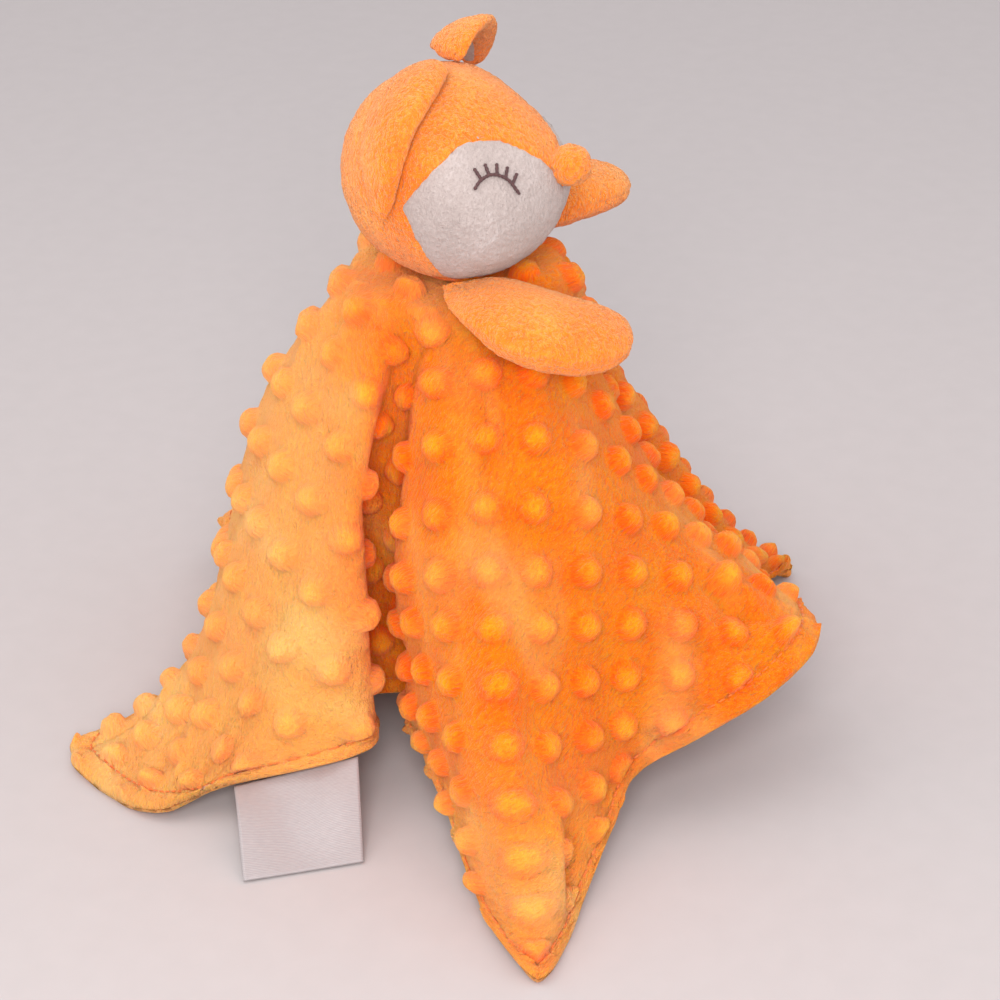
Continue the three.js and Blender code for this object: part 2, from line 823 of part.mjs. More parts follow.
// The eyes: an embroidered closed lid with its lashes, proud of the cheek. Points are told
// as [bearing, elevation] on the head, for the left side.
const lidAngles = [
  [60.6, 12.7],
  [57, 16.8],
  [51, 19],
  [44, 16],
  [38.4, 7.5],
];
const lashAngles = [
  [
    [60, 22.8],
    [56.6, 17.2],
  ],
  [
    [54, 24.6],
    [52.6, 18.6],
  ],
  [
    [47.6, 24],
    [48.6, 18.4],
  ],
  [
    [42, 21.6],
    [44.6, 16],
  ],
  [
    [37.6, 17.7],
    [41.6, 12.8],
  ],
];
const lidSteps = 12;
const lashSteps = 2;
const threadSides = 6;
function thread(angles, side, steps) {
  const path = angles.map(([turn, rise]) => headPoint(direction(side * turn, rise)));
  const curve = new THREE.CatmullRomCurve3(path);
  const rows = [];
  for (let i = 0; i <= steps; i += 1) {
    const centre = curve.getPointAt(i / steps);
    const out = centre.clone().sub(headCentre).normalize();
    const across = new THREE.Vector3().crossVectors(out, curve.getTangentAt(i / steps)).normalize();
    const row = [];
    for (let k = 0; k < threadSides; k += 1) {
      const angle = (2 * Math.PI * k) / threadSides;
      const spoke = out.clone().multiplyScalar(Math.cos(angle)).addScaledVector(across, Math.sin(angle));
      row.push(centre.clone().addScaledVector(spoke, eyeThread / 2));
    }
    rows.push(row);
  }
  return loft(rows);
}

function eye(side) {
  const strands = [thread(lidAngles, side, lidSteps)];
  lashAngles.forEach((angles) => strands.push(thread(angles, side, lashSteps)));
  const whole = strands.reduce((sum, strand) => sum.add(strand));
  return whole.subtract(headForm(-eyeGap));
}

// The stitches that hold the head to the blanket.
const ringRound = 32;
const ringSides = 6;
function neckRing() {
  const ring = new THREE.TorusGeometry(neckRingRadius, neckRingWire / 2, ringSides, ringRound);
  ring.translate(0, 0, tentHeight + neckRingLift);
  return toSolid(ring);
}

// The care label: a bare satin tag whose upper edge is sewn along the hem, and whose lower
// edge lies on the floor. Its lower corners are told in shares of the fold reach.
const labelAngles = [291.5, 299];
const labelLowerShares = [
  [-0.715, 0.151, 0.0075],
  [-0.588, -0.032, 0.0075],
];
const labelSteps = 3;
function careLabel() {
  const upper = labelAngles.map((a) => hemPoint(a).addScaledVector(hemPlan(a).normalize(), labelGap));
  const lower = labelLowerShares.map((row) => new THREE.Vector3(...row).multiplyScalar(foldReach));
  const half = labelThickness / 2;
  const points = [];
  [half, -half].forEach((offset) => {
    for (let i = 0; i <= labelSteps; i += 1)
      for (let k = 0; k <= labelSteps; k += 1) {
        const left = upper[0].clone().lerp(lower[0], i / labelSteps);
        const right = upper[1].clone().lerp(lower[1], i / labelSteps);
        const down = lower[0].clone().add(lower[1]).sub(upper[0]).sub(upper[1]);
        const normal = right.clone().sub(left).cross(down).normalize();
        points.push(left.lerp(right, k / labelSteps).addScaledVector(normal, offset));
      }
  });
  return closeForm(points, slabFaces(labelSteps));
}

// Faces of a thin slab: two square grids of points and the strips between their edges.
function slabFaces(steps) {
  const row = steps + 1;
  const total = row * row;
  const faces = [];
  const quad = (a, b, c, d) => faces.push(a, b, c, a, c, d);
  for (let i = 0; i < steps; i += 1)
    for (let k = 0; k < steps; k += 1) {
      const a = i * row + k;
      quad(a, a + row, a + row + 1, a + 1);
      quad(total + a, total + a + 1, total + a + row + 1, total + a + row);
    }
  for (let i = 0; i < steps; i += 1) {
    const top = i;
    const bottom = steps * row + i;
    const left = i * row;
    const right = i * row + steps;
    quad(top, top + 1, total + top + 1, total + top);
    quad(bottom + 1, bottom, total + bottom, total + bottom + 1);
    quad(left + row, left, total + left, total + left + row);
    quad(right, right + row, total + right + row, total + right);
  }
  return faces;
}

const group = new THREE.Group();
function add(name, solid, material) {
  const mesh = new THREE.Mesh(toGeometry(solid), material);
  mesh.name = name;
  group.add(mesh);
}
add("blanket_front", dottedLayer, dotOrange);
add("blanket_back", lining, liningOrange);
add("head_crown", crownShell, orange);
add("cheek_right", cheekPanel(-1), white);
add("cheek_left", cheekPanel(1), white);
add("head_filling", headFilling, filling);
add("nose_cover", noseCover(), orange);
add("nose_filling", noseStuffing(), filling);
const rightArm = armForm(rightArmShares, rightArmUpShares);
const leftArm = armForm(leftArmShares, leftArmUpShares);
add("arm_right_top", limbPanel(rightArm, 1, plushWall), orange);
add("arm_right_bottom", limbPanel(rightArm, -1, plushWall), orange);
add("arm_right_filling", limbWhole(rightArm, plushWall + seamGap), filling);
add("arm_left_top", limbPanel(leftArm, 1, plushWall), orange);
add("arm_left_bottom", limbPanel(leftArm, -1, plushWall), orange);
add("arm_left_filling", limbWhole(leftArm, plushWall + seamGap), filling);
const rightEar = rightEarForm();
const leftEar = leftEarForm();
add("ear_right_outer", earLayer(rightEar, 1), orange);
add("ear_right_lining", earLayer(rightEar, -1), white);
add("ear_left_outer", earLayer(leftEar, 1), orange);
add("ear_left_lining", earLayer(leftEar, -1), white);
add("eye_right", eye(-1), threadBrown);
add("eye_left", eye(1), threadBrown);
add("neck_stitching", neckRing(), threadOrange);
add("care_label", careLabel(), satin);

// The frame's origin is the middle of the footprint, on the floor.
const bounds = new THREE.Box3().setFromObject(group);
const middle = bounds.getCenter(new THREE.Vector3());
group.position.set(-middle.x, -middle.y, -floorLevel);
export default group;
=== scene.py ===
"""A fox comfort blanket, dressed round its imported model: a dotted plush blanket that
stands like a tent, with a stuffed head, two arms and two ears sewn on its middle."""
import math

import bmesh
import bpy
import numpy as np
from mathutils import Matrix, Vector


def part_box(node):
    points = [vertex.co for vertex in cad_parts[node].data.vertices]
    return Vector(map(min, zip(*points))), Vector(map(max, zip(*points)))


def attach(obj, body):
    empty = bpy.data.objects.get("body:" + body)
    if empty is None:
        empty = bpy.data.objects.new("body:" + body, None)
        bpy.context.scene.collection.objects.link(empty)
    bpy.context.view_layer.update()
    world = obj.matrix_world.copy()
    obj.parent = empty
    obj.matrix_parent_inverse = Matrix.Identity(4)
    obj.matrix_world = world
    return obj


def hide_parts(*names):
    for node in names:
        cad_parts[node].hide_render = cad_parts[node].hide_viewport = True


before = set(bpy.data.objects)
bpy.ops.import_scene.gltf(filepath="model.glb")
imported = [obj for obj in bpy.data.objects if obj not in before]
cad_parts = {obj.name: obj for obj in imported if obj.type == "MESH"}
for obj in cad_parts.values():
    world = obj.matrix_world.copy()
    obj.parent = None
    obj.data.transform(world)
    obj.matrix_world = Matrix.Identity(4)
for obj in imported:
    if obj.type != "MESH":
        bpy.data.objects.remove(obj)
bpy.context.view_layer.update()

# Everything is worked out in millimetres from the neck and then put in its place, which
# the ring of neck stitches gives.
MM = 0.001
TENT_HEIGHT = 149.0
RING_HEIGHT = 149.7
ring_low, ring_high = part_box("neck_stitching")
NECK_PLACE = (np.array(ring_low) + np.array(ring_high)) / 2 / MM - (0, 0, RING_HEIGHT)


def placed(points):
    """Points told from the neck, in millimetres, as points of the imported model."""
    return (np.asarray(points, float) + NECK_PLACE) * MM


def linked(name, data):
    """A new object of the scene that shows this data."""
    made = bpy.data.objects.new(name, data)
    bpy.context.scene.collection.objects.link(made)
    return made


# ---------------------------------------------------------------- camera
CAMERA_FROM_NECK = (-646.8, -248.7, 470.8)
CAMERA_AIM = (4.28, -11.75, 70.79)
LENS = 94.2
camera_data = bpy.data.cameras.new("camera")
camera_data.lens = LENS
camera_data.sensor_width = 36
camera = linked("camera", camera_data)
camera.location = placed(CAMERA_FROM_NECK)
camera_look = Vector(placed(CAMERA_AIM)) - camera.location
camera.rotation_euler = camera_look.to_track_quat("-Z", "Y").to_euler()
camera_data.clip_end = 20
bpy.context.scene.camera = camera


# ---------------------------------------------------------------- vectors
def unit(vectors):
    length = np.linalg.norm(vectors, axis=-1, keepdims=True)
    return vectors / np.maximum(length, 1e-9)


def bearing(degrees):
    """A level direction: 0 is the front and bearings grow towards the fox's left."""
    turn = np.radians(np.asarray(degrees, float))
    return np.stack([np.sin(turn), -np.cos(turn), 0 * turn], -1)


def direction(degrees, elevation):
    level = np.cos(np.radians(elevation))
    point = bearing(degrees) * np.asarray(level)[..., None]
    point[..., 2] = np.sin(np.radians(elevation))
    return point


def smoothstep(value, low, high):
    share = np.clip((value - low) / (high - low), 0, 1)
    return share * share * (3 - 2 * share)


def hermite(start, leave, end, arrive, share):
    s2, s3 = share**2, share**3
    bend = (2 * s3 - 3 * s2 + 1) * start + (s3 - 2 * s2 + share) * leave
    return bend + (3 * s2 - 2 * s3) * end + (s3 - s2) * arrive


def ring_curve(angles, values):
    """A smooth closed curve through values at rising angles."""
    before = np.roll(values, 1, 0)
    after = np.roll(values, -1, 0)
    gap_before = (angles - np.roll(angles, 1)) % 360
    gap_after = (np.roll(angles, -1) - angles) % 360
    share = (gap_before / (gap_before + gap_after))[:, None]
    slopes = (values - before) / gap_before[:, None] * (1 - share)
    slopes = slopes + (after - values) / gap_after[:, None] * share

    def curve(angle):
        turned = np.asarray(angle, float) % 360
        i = np.searchsorted(angles, turned, side="right") - 1
        j = (i + 1) % len(angles)
        span = gap_after[i][:, None]
        t = ((turned - angles[i]) % 360)[:, None] / span
        return hermite(values[i], slopes[i] * span, values[j], slopes[j] * span, t)

    return curve


# ---------------------------------------------------------------- the drape
SIDE = 330.0
HALF_SIDE = SIDE / 2
REACH = 158.0
NECK_SINK = 2.0
SHOULDER_RADIUS = 30.0
SHOULDER_DROP = 1.5
ARM_HOLLOW = 9.0
ARM_PRESS = 4.0
WAIST_RADIUS = 95.0
FLOOR_LIFT = 1.0
FLOOR_SOFTNESS = 1.2
BLANKET_TURN = -50.0
HOLLOW_BEARING = -45.0
SLACK = 0.985

# cloth angle, bearing, reach
WAIST_ROWS = np.array([
    (0, -61, 0.392), (11, -49, 0.395), (22, -34, 0.4), (37, -13, 0.386),
    (50, 4, 0.36), (63, 22, 0.345), (76, 36, 0.31), (90, 49, 0.385),
    (105, 61, 0.35), (122, 80, 0.46), (140, 99, 0.29), (160, 117, 0.44),
    (180, 135, 0.4), (198, 150, 0.31), (215, 155, 0.4), (232, 178, 0.33),
    (248, 191, 0.39), (262, 210, 0.385), (275, 227, 0.375), (288, 244, 0.36),
    (300, 256, 0.325), (309, 236, 0.235), (322, 255, 0.155), (333, 267, 0.262),
    (345, 281, 0.34),
])
# cloth angle, bearing, reach, height
HEM_ROWS = np.array([
    (0, -60.9, 0.93, 0.004), (3.5, -55.9, 0.82, 0.01), (7, -52, 0.739, 0.028),
    (12, -43.5, 0.623, 0.06), (20, -33, 0.561, 0.125), (26.5, -24, 0.609, 0.18),
    (36, -12.5, 0.692, 0.25), (45, -3.5, 0.731, 0.3), (56, 15, 0.66, 0.23),
    (68, 35, 0.574, 0.12), (80, 47.5, 0.69, 0.05), (90, 52, 0.85, 0.004),
    (100, 62, 0.75, 0.03), (113, 74, 0.48, 0.08), (126, 87, 0.7, 0.14),
    (143, 104, 0.38, 0.11), (158, 115.5, 0.72, 0.07), (170, 126, 0.79, 0.025),
    (180, 135.5, 0.883, 0.004), (190, 140, 0.8, 0.03), (203, 148, 0.52, 0.065),
    (218, 155, 0.73, 0.09), (232, 172, 0.42, 0.09), (247, 184, 0.513, 0.06),
    (256, 201, 0.564, 0.02), (264, 212, 0.705, 0.005), (270, 217.4, 0.812, 0.004),
    (274, 226, 0.77, 0.006), (281, 237, 0.719, 0.027), (292, 245.5, 0.577, 0.075),
    (300, 266, 0.416, 0.127), (308, 251, 0.293, 0.133), (315, 260, 0.227, 0.133),
    (324, 281.5, 0.173, 0.13), (331, 281, 0.237, 0.127), (336, 274, 0.296, 0.12),
    (343, 283, 0.389, 0.108), (350, 290.5, 0.551, 0.07), (355, 293.7, 0.716, 0.025),
])


def hem_radius(angle):
    return HALF_SIDE / np.cos(np.radians(angle % 90 - 45))


def shoulder_of(angle):
    press = np.maximum(np.cos(np.radians(angle + BLANKET_TURN - HOLLOW_BEARING)), 0) ** 2
    reach = SHOULDER_RADIUS - ARM_HOLLOW * press
    point = bearing(angle + BLANKET_TURN) * reach[:, None]
    point[:, 2] = TENT_HEIGHT - SHOULDER_DROP - ARM_PRESS * press
    return point, reach


waist_plan = ring_curve(
    WAIST_ROWS[:, 0], bearing(WAIST_ROWS[:, 1]) * WAIST_ROWS[:, 2:3] * REACH
)


def waist_of(angle):
    shoulder, reach = shoulder_of(angle)
    point = waist_plan(angle)
    level = np.linalg.norm(point[:, :2] - shoulder[:, :2], axis=1)
    length = SLACK * (WAIST_RADIUS - reach)
    point[:, 2] = shoulder[:, 2] - np.sqrt(np.maximum(length**2 - level**2, 0))
    return point


def hem_slopes():
    angle = HEM_ROWS[:, 0]
    hem = bearing(HEM_ROWS[:, 1]) * HEM_ROWS[:, 2:3] * REACH
    hem[:, 2] = HEM_ROWS[:, 3] * REACH
    return (hem - waist_of(angle)) / (hem_radius(angle) - WAIST_RADIUS)[:, None]


hem_plan = ring_curve(HEM_ROWS[:, 0], hem_slopes())
SHOULDER_BEND = 0.3
SHOULDER_PULL = 0.55
LAY_HEIGHT = 30.0
LEAST_LAY = 0.25
FOOT_ANGLE = 266.0
FOOT_SPREAD = 16.0
FOOT_DROP = 0.9
FOOT_LEAVE = 0.35
FOOT_LAY = 0.9


def drape(across, along):
    """Where a point of the flat cloth lies, between its two layers."""
    angle = np.degrees(np.arctan2(along, across)) % 360
    radius = np.hypot(across, along)
    top = np.zeros((len(angle), 3))
    top[:, 2] = TENT_HEIGHT - NECK_SINK
    shoulder, edge = shoulder_of(angle)
    waist = waist_of(angle)
    outer = hem_radius(angle)
    hem = waist + hem_plan(angle) * (outer - WAIST_RADIUS)[:, None]
    first, second, third = unit(shoulder - top), unit(waist - shoulder), unit(hem - waist)
    at_shoulder = unit(second + SHOULDER_BEND * first) * SHOULDER_PULL
    foot = np.exp(-(((angle - FOOT_ANGLE) / FOOT_SPREAD) ** 2))
    at_waist = second + third
    at_waist[:, 2] -= foot * FOOT_DROP
    at_waist = unit(at_waist)
    leaving = at_waist * (1 + foot * FOOT_LEAVE)[:, None]
    at_hem = third.copy()
    at_hem[:, 2] *= np.clip((hem[:, 2] - FLOOR_LIFT) / LAY_HEIGHT, LEAST_LAY, 1) * (1 - foot)
    at_hem = at_hem * (1 + foot * FOOT_LAY)[:, None]
    runs = [
        (top, shoulder, bearing(angle + BLANKET_TURN), first, 0 * edge, edge),
        (shoulder, waist, at_shoulder, at_waist, edge, 0 * edge + WAIST_RADIUS),
        (waist, hem, leaving, at_hem, 0 * edge + WAIST_RADIUS, outer),
    ]
    places = []
    for start, end, leave, arrive, low, high in runs:
        share = np.clip((radius - low) / (high - low), 0, 1)[:, None]
        chord = np.linalg.norm(end - start, axis=1, keepdims=True)
        places.append(hermite(start, leave * chord, end, arrive * chord, share))
    inner = (radius <= edge)[:, None]
    middle = (radius <= WAIST_RADIUS)[:, None]
    point = np.where(inner, places[0], np.where(middle, places[1], places[2]))
    above = (point[:, 2] - FLOOR_LIFT) / FLOOR_SOFTNESS
    point[:, 2] = FLOOR_LIFT + FLOOR_SOFTNESS * np.logaddexp(0, above)
    return point


def drape_normal(across, along, step=1.0):
    """Which way the dotted side faces at a point of the flat cloth."""
    ahead = drape(across + step, along) - drape(across - step, along)
    aside = drape(across, along + step) - drape(across, along - step)
    return unit(np.cross(ahead, aside))


# ---------------------------------------------------------------- meshes
def piece_of(name, points, faces):
    mesh = bpy.data.meshes.new(name)
    mesh.from_pydata([tuple(p) for p in points], [], [tuple(int(i) for i in f) for f in faces])
    mesh.validate()
    mesh.shade_smooth()
    return linked(name, mesh)


def pick(piece):
    bpy.ops.object.select_all(action="DESELECT")
    piece.select_set(True)
    bpy.context.view_layer.objects.active = piece


def apply_modifiers(piece):
    pick(piece)
    for modifier in list(piece.modifiers):
        bpy.ops.object.modifier_apply(modifier=modifier.name)


def bisect(form, at, normal, near, **options):
    geometry = form.verts[:] + form.edges[:] + form.faces[:]
    bmesh.ops.bisect_plane(form, geom=geometry, dist=near, plane_co=at, plane_no=normal, **options)


def mesh_lists(form):
    form.verts.index_update()
    points = np.array([v.co[:] for v in form.verts])
    faces = [[v.index for v in f.verts] for f in form.faces]
    return points, faces


def give_map(piece, flat):
    """Stores where each point was on the flat cloth, in metres, as the piece's map."""
    layer = piece.data.uv_layers.new(name="cloth")
    corner = np.zeros(len(piece.data.loops), int)
    piece.data.loops.foreach_get("vertex_index", corner)
    layer.data.foreach_set("uv", (np.asarray(flat)[corner] * MM).ravel())


def give_share(piece, name, values):
    """Stores one number for each point, such as how far up a dot it is."""
    attribute = piece.data.attributes.new(name, "FLOAT", "POINT")
    attribute.data.foreach_set("value", np.asarray(values, np.float32))


# ---------------------------------------------------------------- the blanket, cut flat
PITCH = 17.5
CELL_STEPS = 14
DOT_RINGS = 5
DOT_RADIUS = 5.0
DOT_HEIGHT = 4.2
CLOTH = 1.6
LAYER_GAP = 0.3
CLOTH_OUT = LAYER_GAP / 2 + CLOTH
STITCH_IN = 7.5
STITCH_WIDTH = 1.1
HEM_CUTS = (0.5, 1.6, 6.2, 7.5, 8.8)
HEM_SWELL = 0.7
HEM_PULL = 0.6
HEM_PUCKER = 0.3
PUCKER_LENGTH = 8.3
PUCKER_REACH = 6
DOT_ROUNDNESS = 2.1
LEAST_HEIGHT = 0.1


def dot_lattice():
    """A flat grid whose lines close round the dots: its points and how far up a dot each is."""
    cells = math.ceil(SIDE / math.sqrt(2) / PITCH)
    count = 2 * cells * CELL_STEPS + 1
    i, j = np.meshgrid(np.arange(count), np.arange(count), indexing="ij")
    half = CELL_STEPS // 2
    cell_i, cell_j = i // CELL_STEPS, j // CELL_STEPS
    p = (i - cell_i * CELL_STEPS) / half - 1
    q = (j - cell_j * CELL_STEPS) / half - 1
    reach = np.maximum(abs(p), abs(q))
    wide = abs(p) >= abs(q)
    lean = np.where(wide, q, p) / np.maximum(reach, 1e-9)
    lean = lean * np.sign(np.where(wide, p, q)) * np.pi / 4
    turn_wide = lean + np.where(p < 0, np.pi, 0)
    turn_high = np.pi / 2 - lean + np.where(q < 0, np.pi, 0)
    turn = np.where(wide, turn_wide, turn_high)
    foot = DOT_RINGS / half
    ring = reach * DOT_RADIUS / foot
    square = smoothstep(reach, foot, 1)
    x = (1 - square) * ring * np.cos(turn) + square * p * PITCH / 2
    y = (1 - square) * ring * np.sin(turn) + square * q * PITCH / 2
    centre_i = (cell_i - cells + 0.5) * PITCH
    centre_j = (cell_j - cells) * PITCH
    rise = np.clip(1 - reach / foot, 0, 1)
    return centre_i + x, centre_j + y, rise, count


CORNER_RADIUS = 11.0


def rounded(across, along):
    """The same points of the flat square with its four corners rounded off."""
    sides = [(across + along) / math.sqrt(2), (across - along) / math.sqrt(2)]
    into = [np.maximum(abs(s) - HALF_SIDE + CORNER_RADIUS, 0) for s in sides]
    draw = np.maximum(*into) / np.maximum(np.hypot(*into), 1e-9)
    first, second = (s - np.sign(s) * i * (1 - draw) for s, i in zip(sides, into))
    return (first + second) / math.sqrt(2), (first - second) / math.sqrt(2)


def edge_distance(across, along):
    return (SIDE / math.sqrt(2) - abs(across) - abs(along)) / math.sqrt(2)


def trimmed(across, along, height, count, cuts):
    """A bmesh of a flat grid, trimmed to the square and scored along lines near its edge."""
    keep = edge_distance(across, along) > -PITCH / 2
    inside = keep[:-1, :-1] & keep[1:, :-1] & keep[1:, 1:] & keep[:-1, 1:]
    index = -np.ones(across.shape, int)
    a, b = np.nonzero(inside)
    corners = [(a, b), (a + 1, b), (a + 1, b + 1), (a, b + 1)]
    for rows, columns in corners:
        index[rows, columns] = 0
    used = np.nonzero(index == 0)
    index[used] = np.arange(len(used[0]))
    points = np.stack([across[used], along[used], height[used]], -1)
    faces = np.stack([index[r, c] for r, c in corners], -1)
    mesh = bpy.data.meshes.new("cut")
    mesh.from_pydata(points.tolist(), [], faces.tolist())
    form = bmesh.new()
    form.from_mesh(mesh)
    bpy.data.meshes.remove(mesh)
    for cut in [0, *cuts]:
        for x, y in ((1, 1), (1, -1), (-1, 1), (-1, -1)):
            normal = Vector((x, y, 0)).normalized()
            bisect(form, normal * (HALF_SIDE - cut), normal, 1e-4, clear_outer=cut == 0)
    points, faces = mesh_lists(form)
    rim = [v.index for v in form.verts if v.is_boundary]
    form.free()
    turns = np.arctan2(points[rim, 1], points[rim, 0]) % (2 * math.pi)
    rim = [rim[k] for k in np.argsort(turns, kind="stable")]
    return points, faces, rim, np.sort(turns)


def joined_rims(first, first_turns, second, second_turns):
    """The strip of triangles between two rims that are told by their angles."""
    faces = []
    i = j = 0
    while i < len(first) or j < len(second):
        a, b = first[i % len(first)], second[j % len(second)]
        next_i = first_turns[i + 1] if i + 1 < len(first) else 9 + (i == len(first))
        next_j = second_turns[j + 1] if j + 1 < len(second) else 9 + (j == len(second))
        if next_i <= next_j:
            faces.append((b, a, first[(i + 1) % len(first)]))
            i += 1
        else:
            faces.append((b, a, second[(j + 1) % len(second)]))
            j += 1
    return faces


def plain_grid(spacing):
    reach = SIDE / math.sqrt(2)
    half = math.ceil(reach / spacing)
    line = np.arange(-half, half + 1) * spacing
    across, along = np.meshgrid(line, line, indexing="ij")
    return across, along, 0 * across, len(line)


def ripples(across, along, seed, length, size):
    """A soft, even unevenness of the cloth, of about that wave length and height."""
    source = np.random.default_rng(seed)
    total = np.zeros(len(across))
    waves = 9
    for _ in range(waves):
        turn, phase = source.uniform(0, 2 * math.pi, 2)
        pace = 2 * math.pi / (length * source.uniform(0.7, 1.5))
        total += np.sin(pace * (across * math.cos(turn) + along * math.sin(turn)) + phase)
    return total * size / math.sqrt(waves)


# Folds and creases on the flat cloth: from, to, half width, height
FOLDS = (
    (158, 13, 219, 5, 5.5, 4.5), (166, 24, 211, 15, 4.5, -4.5), (160, 61, 181, 33, 2.2, -1.6),
    (163, 72, 149, 62, 2.6, -2.2), (150, 83, 137, 74, 2.6, -1.8), (157, 78, 143, 68, 3.5, 1.4),
    (84, 82, 112, 104, 3.4, 2.2), (92, 76, 120, 96, 3.0, -2.0), (76, 92, 104, 113, 3.0, -1.8),
    (66, 98, 94, 122, 3.4, 1.6), (102, 70, 126, 88, 3.2, 1.5),
    (113, 84, 103, 110, 3.2, -2.6), (119, 92, 109, 114, 2.6, 2.0), (126, 70, 115, 92, 3.0, -1.8),
    (4, -160, 30, -196, 3.4, -2.6), (18, -156, 42, -186, 3.6, 2.4), (-8, -168, 14, -204, 3.6, 2.0),
    (34, -150, 52, -174, 3.0, -1.8), (0, -34, 6, -62, 3.4, -3.2), (-8, -36, -6, -70, 4.5, 2.0),
    (8, -34, 16, -64, 4.0, 2.0), (120, -6, 176, -16, 6, 1.8), (126, 8, 168, 30, 6, -1.6),
)


def folds(across, along):
    """How far the folds and creases stand out of the cloth at each of its points."""
    total = np.zeros(len(across))
    for x0, y0, x1, y1, width, height in FOLDS:
        run = np.array([x1 - x0, y1 - y0], float)
        length = np.linalg.norm(run)
        far = ((across - x0) * run[0] + (along - y0) * run[1]) / length
        off = abs((across - x0) * run[1] - (along - y0) * run[0]) / length
        ends = smoothstep(far, 0, length * 0.35) * smoothstep(length - far, 0, length * 0.35)
        total += height * ends * np.exp(-((off / width) ** 2))
    return total


def unevenness(across, along):
    """Everything that lifts both layers of the blanket together."""
    soft = ripples(across, along, 4, 42, 0.6) + ripples(across, along, 8, 14, 0.16)
    return soft + folds(across, along)


def hem_shape(distance, beside):
    """How the sewn hem swells, and how its stitches draw it in."""
    swell = HEM_SWELL * np.sin(np.pi * np.clip(distance / STITCH_IN, 0, 1))
    pull = HEM_PULL * np.exp(-(((distance - STITCH_IN) / STITCH_WIDTH) ** 2))
    near = np.exp(-(((distance - STITCH_IN) / PUCKER_REACH) ** 2))
    pucker = HEM_PUCKER * np.sin(2 * np.pi * beside / PUCKER_LENGTH) * near
    return swell - pull + pucker


def rounded_rim(distance):
    share = np.clip(distance / CLOTH, 0, 1)
    return np.sqrt(1 - (1 - share) ** 2)


LEAST_DRAW, MOST_DRAW = 0.6, 1.4
DOT_STEP = 4.0


def dot_centres(across, along):
    """The middle of the dot nearest to each point of the flat cloth."""
    return np.stack([(np.floor(across / PITCH) + 0.5) * PITCH, np.rint(along / PITCH) * PITCH], -1)


def dot_axes(across, along):
    """The one direction in which each point's dot stands out of the draped cloth."""
    unique, number = np.unique(dot_centres(across, along).round(3), axis=0, return_inverse=True)
    return drape_normal(unique[:, 0], unique[:, 1], DOT_STEP)[number.ravel()]


ARM_DOTS = ((1.5 * PITCH, PITCH), (1.5 * PITCH, 0))
PRESSED_SHARE = 0.1


def standing_share(across, along):
    """The share of its height that each point's dot keeps: the right arm lies on two of
    them and presses them flat."""
    centres = dot_centres(across, along)
    share = np.ones(len(centres))
    for dot in ARM_DOTS:
        share[np.linalg.norm(centres - dot, axis=-1) < PITCH / 2] = PRESSED_SHARE
    return share


def round_dots(across, along):
    """Draws the cloth's points together or apart within each cell, so that the dots come
    out round where the drape stretches or gathers the cloth."""
    centres = dot_centres(across, along)
    unique, number = np.unique(centres.round(3), axis=0, return_inverse=True)
    number = number.ravel()
    step = 2.0
    x, y = unique[:, 0], unique[:, 1]
    ahead = (drape(x + step, y) - drape(x - step, y)) / (2 * step)
    aside = (drape(x, y + step) - drape(x, y - step)) / (2 * step)
    frames = np.stack([ahead, aside], -1)
    values, turns = np.linalg.eigh(np.swapaxes(frames, 1, 2) @ frames)
    draws = np.clip(1 / np.sqrt(np.maximum(values, 1e-6)), LEAST_DRAW, MOST_DRAW)
    drawn = (turns * draws[:, None, :]) @ np.swapaxes(turns, 1, 2)
    away = np.stack([across, along], -1) - centres
    moved = np.einsum("nij,nj->ni", drawn[number], away) - away
    reach = np.abs(away).max(axis=1) / (PITCH / 2)
    moved *= (1 - smoothstep(reach, DOT_RADIUS / (PITCH / 2), 1))[:, None]
    return across + moved[:, 0], along + moved[:, 1]


def cloth_piece(name, face, grid, hidden_spacing, dotted):
    """One layer of the blanket. face is 1 for the dotted layer and -1 for the lining."""
    across, along, rise, count = grid
    shown, shown_faces, rim, turns = trimmed(across, along, rise, count, HEM_CUTS)
    hidden, hidden_faces, hidden_rim, hidden_turns = trimmed(*plain_grid(hidden_spacing), [])
    total = len(shown)
    flat = np.concatenate([shown[:, :2], hidden[:, :2]])
    faces = [list(f) for f in shown_faces]
    faces += [[total + i for i in reversed(f)] for f in hidden_faces]
    faces += joined_rims(rim, turns, [total + i for i in hidden_rim], hidden_turns)
    if face < 0:
        faces = [list(reversed(f)) for f in faces]
    distance = edge_distance(flat[:, 0], flat[:, 1])
    u, v = rounded(flat[:, 0], flat[:, 1])
    if dotted:
        inside = distance > STITCH_IN
        round_u, round_v = round_dots(u, v)
        u, v = np.where(inside, round_u, u), np.where(inside, round_v, v)
    beside = (u * np.sign(v) - v * np.sign(u)) / math.sqrt(2)
    outer = CLOTH * rounded_rim(distance) + LAYER_GAP / 2 + hem_shape(distance, beside)
    dot = np.zeros(len(flat))
    if dotted:
        dot[:total] = shown[:, 2]
        clear = smoothstep(abs(distance - STITCH_IN), 0.4, 2.5) * smoothstep(distance, 0.5, 4)
        dot *= clear
    lift = np.where(np.arange(len(flat)) < total, outer, LAYER_GAP / 2) * face
    lift = lift + unevenness(u, v)
    if dotted:
        lift = lift + ripples(u, v, 15, 4.5, 0.13)
    points = drape(u, v) + drape_normal(u, v) * lift[:, None]
    if dotted:
        stand = DOT_HEIGHT * np.sqrt(1 - (1 - dot) ** DOT_ROUNDNESS)
        stand *= standing_share(flat[:, 0], flat[:, 1])
        points += dot_axes(flat[:, 0], flat[:, 1]) * stand[:, None]
    points = placed(points)
    points[:, 2] = np.maximum(points[:, 2], LEAST_HEIGHT * MM)
    piece = piece_of(name, points, faces)
    give_map(piece, np.stack([u, v], -1))
    # How far up a dot each point is; the finish also uses it to paint a highlight on the dot tops
    # and shade at their feet.
    give_share(piece, "tip", dot)
    return piece


